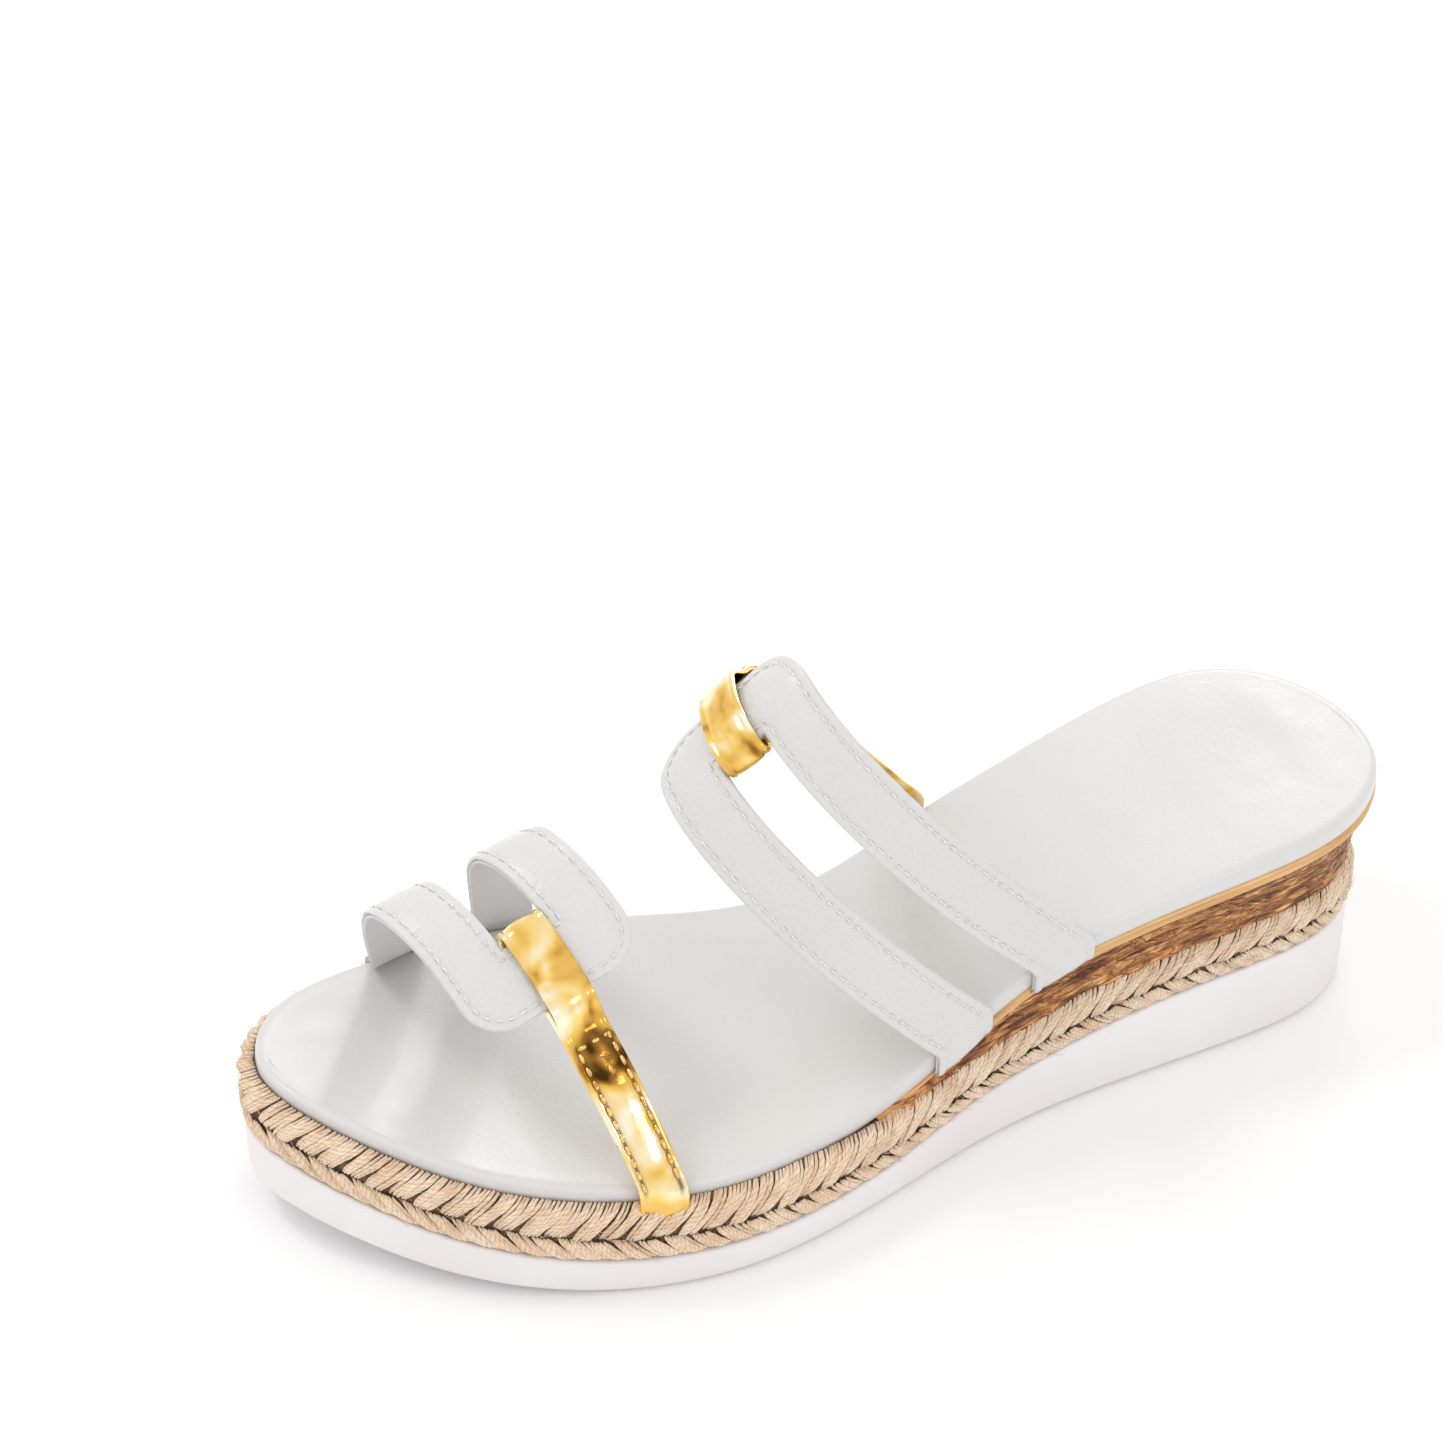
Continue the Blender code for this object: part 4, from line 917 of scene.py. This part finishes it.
def bezier(p0, p1, p2, p3, count):
    t = np.linspace(0, 1, count)[:, None]
    return ((1 - t)**3 * p0 + 3 * t * (1 - t)**2 * p1 + 3 * t * t * (1 - t) * p2 + t**3 * p3)


class Rim:
    """The footbed edge on one side, measured in millimetres from a station."""

    def __init__(self, side, where):
        self.line = OUTER_LINE if side > 0 else INNER_LINE
        self.arc = arc_lengths(self.line)
        self.zero = float(np.interp((where - 0.5) * LENGTH, self.line[:, 1], self.arc))
        self.side = side

    def at(self, v):
        """Edge point and outward direction v millimetres towards the heel."""
        p, ahead = (on_line(self.zero + v + step, self.arc, self.line) for step in (0.0, 0.5))
        d = unit(ahead - p)
        return p, np.array([d[1], -d[0]]) * self.side


SETTLE = 26.0               # stretch over which a strap's end settles onto the sole's edge


class Arch:
    """Surface that a strap set lies on: s along it in mm, v across it, h above it."""

    def __init__(self, spec):
        self.spec = spec
        side = spec["side"]
        self.rims = (Rim(side, spec["strap_station"]), Rim(-side, spec["metal_station"]))
        self.clear = (GAP, GAP + METAL_THICK + GAP)
        ends = []
        for rim, clear in zip(self.rims, self.clear):
            p, n = rim.at(0.0)
            e = p + n * clear
            ends.append(np.array([e[0], e[1], float(footbed_z(e[1]))]))
        start, finish = ends
        y = (spec["apex_station"] - 0.5) * LENGTH
        rise = spec["rise"]
        apex = np.array([spec["apex_across"] * BALL_WIDTH, y, float(footbed_z(y)) + rise])
        run = unit(np.array(spec["run"]))
        a, b = np.array(spec["strap_handle"]) * rise, np.array(spec["metal_handle"]) * rise
        a[0] *= -side
        b[0] *= side
        first = bezier(start, start + a, apex - run * spec["reach"][0] * rise, apex, 120)
        second = bezier(apex, apex + run * spec["reach"][1] * rise, finish + b, finish, 120)
        self.path = np.vstack([first, second[1:]])
        self.arc = arc_lengths(self.path)
        self.length = float(self.arc[-1])
        self.slot = spec["slot_share"] * self.length
        self.end = self.slot + CROSSBAR
        self.gaps = (spec["root_gap"], METAL_WIDTH + 2 * SLOT_PLAY)
        self.corner = spec["corner"]
        self.outward = 1.0
        top = self.length * 0.5
        if (self.point(top, 0.0, 1.0) - self.point(top, 0.0, 0.0))[2] < 0:
            self.outward = -1.0

    def centre(self, s):
        return on_line(s, self.arc, self.path)

    def across(self, s):
        """Direction of the strap's width, square to its path."""
        u = float(np.clip(s / self.length, 0, 1))
        k = ((1 - u) * (1 - 2 * u), 4 * u * (1 - u), u * (2 * u - 1))
        (lean_sin, lean_cos), (yaw_sin, yaw_cos) = (
            sin_cos(sum(w * d for w, d in zip(k, self.spec[key]))) for key in ("lean", "yaw"))
        w = np.array([yaw_sin * lean_cos, yaw_cos * lean_cos, lean_sin])
        t = unit(self.centre(min(s + 0.6, self.length)) - self.centre(max(s - 0.6, 0.0)))
        return unit(w - t * (w @ t))

    def mid(self, s, v):
        """Point of the surface itself; both ends settle onto the curved edge of the sole."""
        p = self.centre(s) + self.across(s) * v
        for end, at, root in ((0, s, 0.0), (1, self.length - s, self.length)):
            fade = max(0.0, 1.0 - at / SETTLE) ** 2
            if fade > 0:
                q, n = self.rims[end].at(v)
                q = q + n * self.clear[end]
                edge = np.array([q[0], q[1], float(footbed_z(q[1]))])
                p = p + fade * (edge - (self.centre(root) + self.across(root) * v))
        return p

    def basis(self, s, v):
        """Surface point and the direction away from the foot."""
        s = float(np.clip(s, 0.0, self.length))
        e = 0.8
        lo, hi = max(s - e, 0.0), min(s + e, self.length)
        along = self.mid(hi, v) - self.mid(lo, v)
        wide = self.mid(s, v + e) - self.mid(s, v - e)
        out = unit(np.cross(along, wide))
        if self.spec["side"] < 0:
            out = -out
        return self.mid(s, v), out * self.outward

    def point(self, s, v, h):
        p, out = self.basis(s, v)
        return p + out * h

    def tucked(self, end, q, v, h):
        """Point on the strap's end: q = 0 at the far end under the insole, 1 at the footbed."""
        rim, clear = self.rims[end], self.clear[end]
        p, n = rim.at(v)
        turn = 0.5 * math.pi * clear
        total = TUCK + turn + INSOLE - 0.6
        d = q * total
        if d < TUCK:
            xy = p + n * (d - TUCK)
            return np.array([xy[0], xy[1], float(under_z(xy[1])) - clear - h])
        if d < TUCK + turn:
            angle = (d - TUCK) / clear
            r = clear + h
            xy = p + n * math.sin(angle) * r
            drop = math.cos(angle) * r
            return np.array([xy[0], xy[1], float(under_z(p[1] + n[1] * clear)) - drop])
        xy = p + n * (clear + h)
        return np.array([xy[0], xy[1], float(under_z(p[1] + n[1] * clear)) + d - TUCK - turn])

    def gap(self, s):
        root, top = self.gaps
        return root + (top - root) * min(max(s / self.slot, 0.0), 1.0)

    def outer(self, s):
        wide = self.gap(s) / 2 + BAND_WIDTH
        past = s - (self.end - self.corner)
        if past > 0:
            wide -= self.corner - math.sqrt(max(self.corner**2 - past**2, 0.0))
        return wide


# distances in from a strap's edge at which its section is cut: roll of the edge, seam, face
ROLL = (0.0, 0.07, 0.22, 0.45, 0.8, 1.3, 1.75, 2.0, 2.25, 2.8)
# rows of a strap's tucked end, as shares of it; what lies deeper is out of sight
TUCK_ROWS = (0.60, 0.70, 0.78, 0.86, 0.93, 1.0)


def section(distance, thick, crown, seam):
    """Height above and below the middle of a soft band, distance in from its edge."""
    half = thick / 2
    r = min(half * 1.15, 0.8)
    x = min(distance / r, 1.0)
    edge = half * math.sqrt(max(1 - (1 - x) ** 2, 0.0))
    puff = crown * smoothstep(seam, seam + 3.2, distance)
    dip = 0.22 * math.exp(-((distance - seam) / 0.38) ** 2) if crown > 0 else 0.0
    return edge + float(puff) - dip * smoothstep(0.3, 0.9, distance), -edge


def u_distance(arch, s, v):
    """Distance from (s, v) on the U strap to its nearest edge."""
    a = abs(v)
    outside = arch.gap(s) / 2 + BAND_WIDTH
    inside = a - arch.gap(s) / 2
    if s > arch.slot:
        inside = math.hypot(max(a - arch.gap(arch.slot) / 2, 0), s - arch.slot)
    turn = arch.end - arch.corner
    edge_v = outside - arch.corner
    if s > turn and a > edge_v:
        rim = arch.corner - math.hypot(s - turn, a - edge_v)
    else:
        rim = min(outside - a, arch.end - s)
    return max(min(inside, rim), 0.0)


def band_shares(width):
    """Positions across a band: close together at both edges, open in the middle."""
    left = list(ROLL)
    middle = list(np.linspace(ROLL[-1], width - ROLL[-1], 6))[1:-1]
    return left + middle + [width - d for d in reversed(left)]


def u_band(arch, name, low, high, crown, look, slot, node):
    """One leather layer of a U strap, its edges rolled and its face drawn down at the seams."""
    shares = [d / BAND_WIDTH for d in band_shares(BAND_WIDTH)]
    bar_shares = list(np.linspace(0, 1, 9))[1:-1]
    middle, thick = (low + high) / 2, high - low
    top, bottom, faces, index = [], [], [], {}

    def node_at(key, s, v, q=None):
        """Index of the point at (s, v), or on the tucked end at q; made the first time."""
        if key not in index:
            index[key] = len(top)
            up, down = section(u_distance(arch, s, v), thick, crown, SEAM_INSET)
            crease = 0.05 * noise3(s * 0.14, v * 0.25, 2.0) * min(crown * 4, 1)
            for skin, h in ((top, middle + up + crease), (bottom, middle + down)):
                skin.append(arch.point(s, v, h) if q is None else arch.tucked(0, q, v, h))
        return index[key]

    legs = list(np.arange(0.8, arch.slot - 0.8, 1.25)) + [arch.slot]
    bar = [arch.slot + d for d in (0.1, 0.3, 0.6, 1.0, 1.5, 2.0, 2.5, 3.5)]
    turns = [arch.end - arch.corner * (1 - sin_cos(a)[0]) for a in range(0, 91, 6)]
    bar += [s for s in np.arange(arch.slot + 4.5, arch.end - arch.corner - 0.4, 1.0)]
    bar += [s for s in turns if s > bar[-1] + 0.05]
    stretch = [("tuck", k, 0.0, q) for k, q in enumerate(TUCK_ROWS)]
    stretch += [("leg", k, s, None) for k, s in enumerate(legs)]
    stretch += [("bar", k, s, None) for k, s in enumerate(bar)]
    for sign in (-1, 1):
        ids = []
        for kind, k, s, q in stretch:
            inner = arch.gap(s) / 2
            wide = arch.outer(s) - inner if kind == "bar" else BAND_WIDTH
            ids.append([node_at((kind, sign, k, c), s, sign * (inner + wide * f), q)
                        for c, f in enumerate(shares)])
        for r0, r1 in zip(ids[:-1], ids[1:]):
            for c in range(len(r0) - 1):
                quad = (r0[c], r0[c + 1], r1[c + 1], r1[c])
                faces.append(quad if sign > 0 else quad[::-1])
    kinds = [("leg", len(legs) - 1, arch.slot)] + [("bar", k, s) for k, s in enumerate(bar)]
    lines = []
    for kind, k, s in kinds:
        inner = arch.gap(s) / 2
        row = [index[(kind, -1, k, 0)]]
        for c, f in enumerate(bar_shares):
            v = -inner + 2 * inner * f
            row.append(node_at(("middle", kind, k, c), s, v))
        row.append(index[(kind, 1, k, 0)])
        lines.append(row)
    for r0, r1 in zip(lines[:-1], lines[1:]):
        for c in range(len(r0) - 1):
            faces.append((r0[c], r0[c + 1], r1[c + 1], r1[c]))
    return sheet_piece(name, top, bottom, faces, look, slot, node)


def sheet_piece(name, top, bottom, quads, look, slot, *nodes):
    """Closed piece from matching top and bottom points, joined round the border."""
    count = len(top)
    edges = {}
    for q in quads:
        for a, b in zip(q, q[1:] + q[:1]):
            if (b, a) in edges:
                del edges[(b, a)]
            else:
                edges[(a, b)] = True
    faces = list(quads) + [tuple(i + count for i in reversed(q)) for q in quads]
    faces += [(b, a, a + count, b + count) for a, b in edges]
    obj = new_object(name, np.vstack([top, bottom]), faces)
    return finish_piece(obj, look, slot, *nodes)


UPPER_TOP = LINING_THICK + GAP + UPPER_THICK
OVER = UPPER_TOP + 2 * GAP + 0.6


def metal_level(arch, s):
    """Height of the metallic strap: over the crossbar, then down to the surface itself."""
    return OVER * (1 - float(smoothstep(arch.end + 0.6, arch.end + 8.0, s)))


def metal_rows(arch):
    """Rows up the metallic strap, round the crossbar and back beneath it.

    Each is place(v, h), its s (negative on the tail beneath) and 1 in the fold, else 0.
    """
    rows = [(lambda v, h, q=q: arch.tucked(1, q, v, h), arch.length, 0.0) for q in TUCK_ROWS]
    for s in np.arange(arch.length - 1.0, arch.slot, -1.1):
        rows.append((lambda v, h, s=s: arch.point(s, v, metal_level(arch, s) + h), s, 0.0))
    lap = -2 * GAP
    radius, middle = (OVER - lap) / 2, (OVER + lap) / 2
    for z, c in map(sin_cos, range(10, 175, 20)):
        rows.append((lambda v, h, c=c, z=z: arch.point(
            arch.slot - z * (radius + h), v, middle + c * (radius + h)), arch.slot, 1.0))
    for s in np.arange(arch.slot, arch.length - arch.spec["tail_end"], 1.3):
        rows.append((lambda v, h, s=s: arch.point(s, v, lap - h), -s, 0.0))
    return rows


def make_metal(arch, prefix):
    """The folded gold strap, gently crinkled, with its seams pressed in."""
    shares = [0.0, 0.06, 0.2, 0.42, 0.8, 1.15, 1.4, 1.65, 2.1, 3.0, 4.0]
    across = shares + [5.0] + [METAL_WIDTH - d for d in reversed(shares)]
    rows = metal_rows(arch)
    sewn = arch.end + 9.0
    top, bottom, seam_shade = [], [], []
    for r, (place, s, fold) in enumerate(rows):
        for d in across:
            v = d - METAL_WIDTH / 2
            edge = min(d, METAL_WIDTH - d)
            up, down = section(edge, METAL_THICK, 0.32, METAL_SEAM_INSET)
            crinkle = (0.34 * noise3(r * 0.13, v * 0.16, 4.0) + 0.06 * noise3(r * 0.6, v * 0.4, 7.0)
                       + 0.08 * fold * noise3(r * 1.3, v * 0.15, 1.0)) * smoothstep(0, 1, edge)
            half = METAL_THICK / 2
            top.append(place(v, half + up + float(crinkle)))
            bottom.append(place(v, half + down))
            # how near a point lies to the seam line, for painted shade along the sewn part
            deep = math.exp(-((edge - METAL_SEAM_INSET) / 0.50) ** 2)
            seam_shade.append(0.9 * deep if sewn < s < arch.length and edge > 0.3 else 0.0)
    cols = len(across)
    quads = [tuple(int(i) for i in f) for f in grid_faces(len(rows), cols)]
    obj = sheet_piece(prefix + "_gold_strap", top, bottom, quads, LOOKS["gold"], "metal_strap",
                      prefix + "_metal_strap")
    mark_points(obj, "seam_shade", seam_shade + [0.0] * len(seam_shade))


def stitches(name, line, place, pitch, length, radius, look, slot, *nodes):
    """Separate stitches along a line of (s, v) points, each dipping in at both ends."""
    pts = np.array(line, float)
    arc = arc_lengths(pts)
    taper = np.array([0.55, 0.9, 1.0, 1.0, 1.0, 0.9, 0.55])
    q = np.linspace(0, 1, len(taper))
    heap = Heap()
    for start in np.arange(0.3, arc[-1] - length, pitch):
        p, up = [], []
        for share, (s, v) in zip(q, on_line(start + length * q, arc, pts)):
            base, out = place(s, v)
            p.append(base + out * (radius * 1.5 * math.sin(math.pi * share) ** 0.6 - radius * 0.9))
            up.append(out)
        heap.add(*tube(p, up, radius * taper, 7))
    return finish_piece(heap.build(name), look, slot, *nodes)


def u_lines(arch):
    """Centre lines of the two seams of a U strap as (s, v) points."""
    r = arch.corner - SEAM_INSET
    turn = arch.end - arch.corner
    outer = [(s, -(arch.gap(s) / 2 + BAND_WIDTH - SEAM_INSET)) for s in np.linspace(1.5, turn, 60)]
    edge = arch.gap(arch.end) / 2 + BAND_WIDTH - arch.corner
    outer += [(turn + r * sin, -(edge + r * cos)) for sin, cos in map(sin_cos, range(6, 91, 6))]
    outer += [(arch.end - SEAM_INSET, 0.0)]
    outer += [(s, -v) for s, v in outer[-2::-1]]
    inner = arch.slot + SEAM_INSET
    slot = [(s, -(arch.gap(s) / 2 + SEAM_INSET)) for s in np.linspace(1.5, inner, 60)]
    slot += [(inner, 0.0)]
    slot += [(s, -v) for s, v in slot[-2::-1]]
    return outer, slot


def make_set(spec):
    """One U strap of lining and upper, its gold strap, and their seams."""
    arch = Arch(spec)
    prefix = spec["prefix"]
    u_band(arch, prefix + "_lining", 0.0, LINING_THICK + 0.1, 0.0, LOOKS["lining"],
           "strap_lining", prefix + "_strap_lining")
    u_band(arch, prefix + "_upper", LINING_THICK + 0.12, UPPER_TOP, 0.28, LOOKS["upper"],
           "strap_upper", prefix + "_strap_upper")

    def on_upper(s, v):
        base, out = arch.basis(s, v)
        return base + out * (UPPER_TOP - 0.12), out

    for part, line in zip(("outer", "slot"), u_lines(arch)):
        stitches(f"{prefix}_{part}_stitches", line, on_upper, 2.7, 2.2, 0.27, LOOKS["thread"],
                 "seam", f"{prefix}_strap_{part}_seam")
    make_metal(arch, prefix)

    def on_metal(s, v):
        base, out = arch.basis(s, v)
        return base + out * (metal_level(arch, s) + METAL_THICK - 0.05), out

    v = METAL_WIDTH / 2 - METAL_SEAM_INSET
    top, foot = arch.end + 10.0, arch.length - 0.5
    line = [(s, -v) for s in np.linspace(foot, top, 40)] + [(top, 0.0)]
    line += [(s, v) for s in np.linspace(top, foot, 40)]
    stitches(prefix + "_gold_stitches", line, on_metal, 3.0, 2.2, 0.46, LOOKS["gold_thread"],
             "metal_seam", prefix + "_metal_seam")


# ================================================================== camera, floor and light
def make_stage():
    """Plain pale floor, white surroundings and three small soft lamps."""
    centre = Vector((0.0, 0.0, 0.03))
    bpy.ops.mesh.primitive_plane_add(size=6.0, location=(0, 0, -0.0002))
    ground = bpy.context.object
    ground.name = "floor"
    look = Look("floor_paper", (0.97, 0.97, 0.97), 0.9)
    look.colour(look.ramp(look.noise(look.place(), 3.0, 2.0),
                          [(0.3, (0.965, 0.965, 0.965)), (0.7, (0.975, 0.975, 0.975))]))
    ground.data.materials.append(look.mat)
    world = bpy.data.worlds.new("studio")
    world.use_nodes = True
    world.node_tree.nodes["Background"].inputs["Color"].default_value = (1.0, 1.0, 1.0, 1.0)
    world.node_tree.nodes["Background"].inputs["Strength"].default_value = 0.98
    bpy.context.scene.world = world
    bpy.context.scene.view_settings.view_transform = "Standard"

    def softbox(name, place, size, power):
        data = bpy.data.lights.new(name, "AREA")
        data.shape, data.size, data.size_y, data.energy = "RECTANGLE", size[0], size[1], power
        lamp = bpy.data.objects.new(name, data)
        bpy.context.scene.collection.objects.link(lamp)
        lamp.location = place
        lamp.rotation_euler = (centre - lamp.location).to_track_quat("-Z", "Y").to_euler()

    softbox("key", Vector((-0.35, -0.5, 1.0)), (0.32, 0.22), 1.9)
    softbox("side", Vector((0.9, 0.25, 0.55)), (0.3, 0.2), 0.8)
    softbox("rear", Vector((-0.7, 0.6, 0.6)), (0.3, 0.2), 1.1)


CAMERA_PLACE = (571.5, -312.5, 582.5)                   # mm, in the same plan as the outline
CAMERA_AZIMUTH, CAMERA_ELEVATION, CAMERA_ROLL = 63.42, 36.98, 0.12         # degrees
CAMERA_LENS, CAMERA_SENSOR = 100.24, 36.0


def make_camera():
    """View from the outer front quarter, looking down on the insole through a long lens."""
    (azimuth_sin, azimuth_cos), (sin, cos) = map(sin_cos, (CAMERA_AZIMUTH, CAMERA_ELEVATION))
    place = Vector((np.array(CAMERA_PLACE) + SHIFT) * MM)
    back = Vector((azimuth_sin * cos, -azimuth_cos * cos, sin))
    right = Vector((0, 0, 1)).cross(back).normalized()
    up = back.cross(right)
    turn = Matrix((right, up, back)).transposed() @ Matrix.Rotation(
        math.radians(CAMERA_ROLL), 3, "Z")
    data = bpy.data.cameras.new("camera")
    data.sensor_width, data.lens = CAMERA_SENSOR, CAMERA_LENS
    data.clip_start, data.clip_end = 0.05, 20.0
    camera = bpy.data.objects.new("camera", data)
    camera.matrix_world = Matrix.Translation(place) @ turn.to_4x4()
    bpy.context.scene.collection.objects.link(camera)
    bpy.context.scene.camera = camera


make_outsole()
make_core()
make_insole()
make_braid()
make_cork()
for strap_set in (TOE_SET, INSTEP_SET):
    make_set(strap_set)
make_stage()
make_camera()
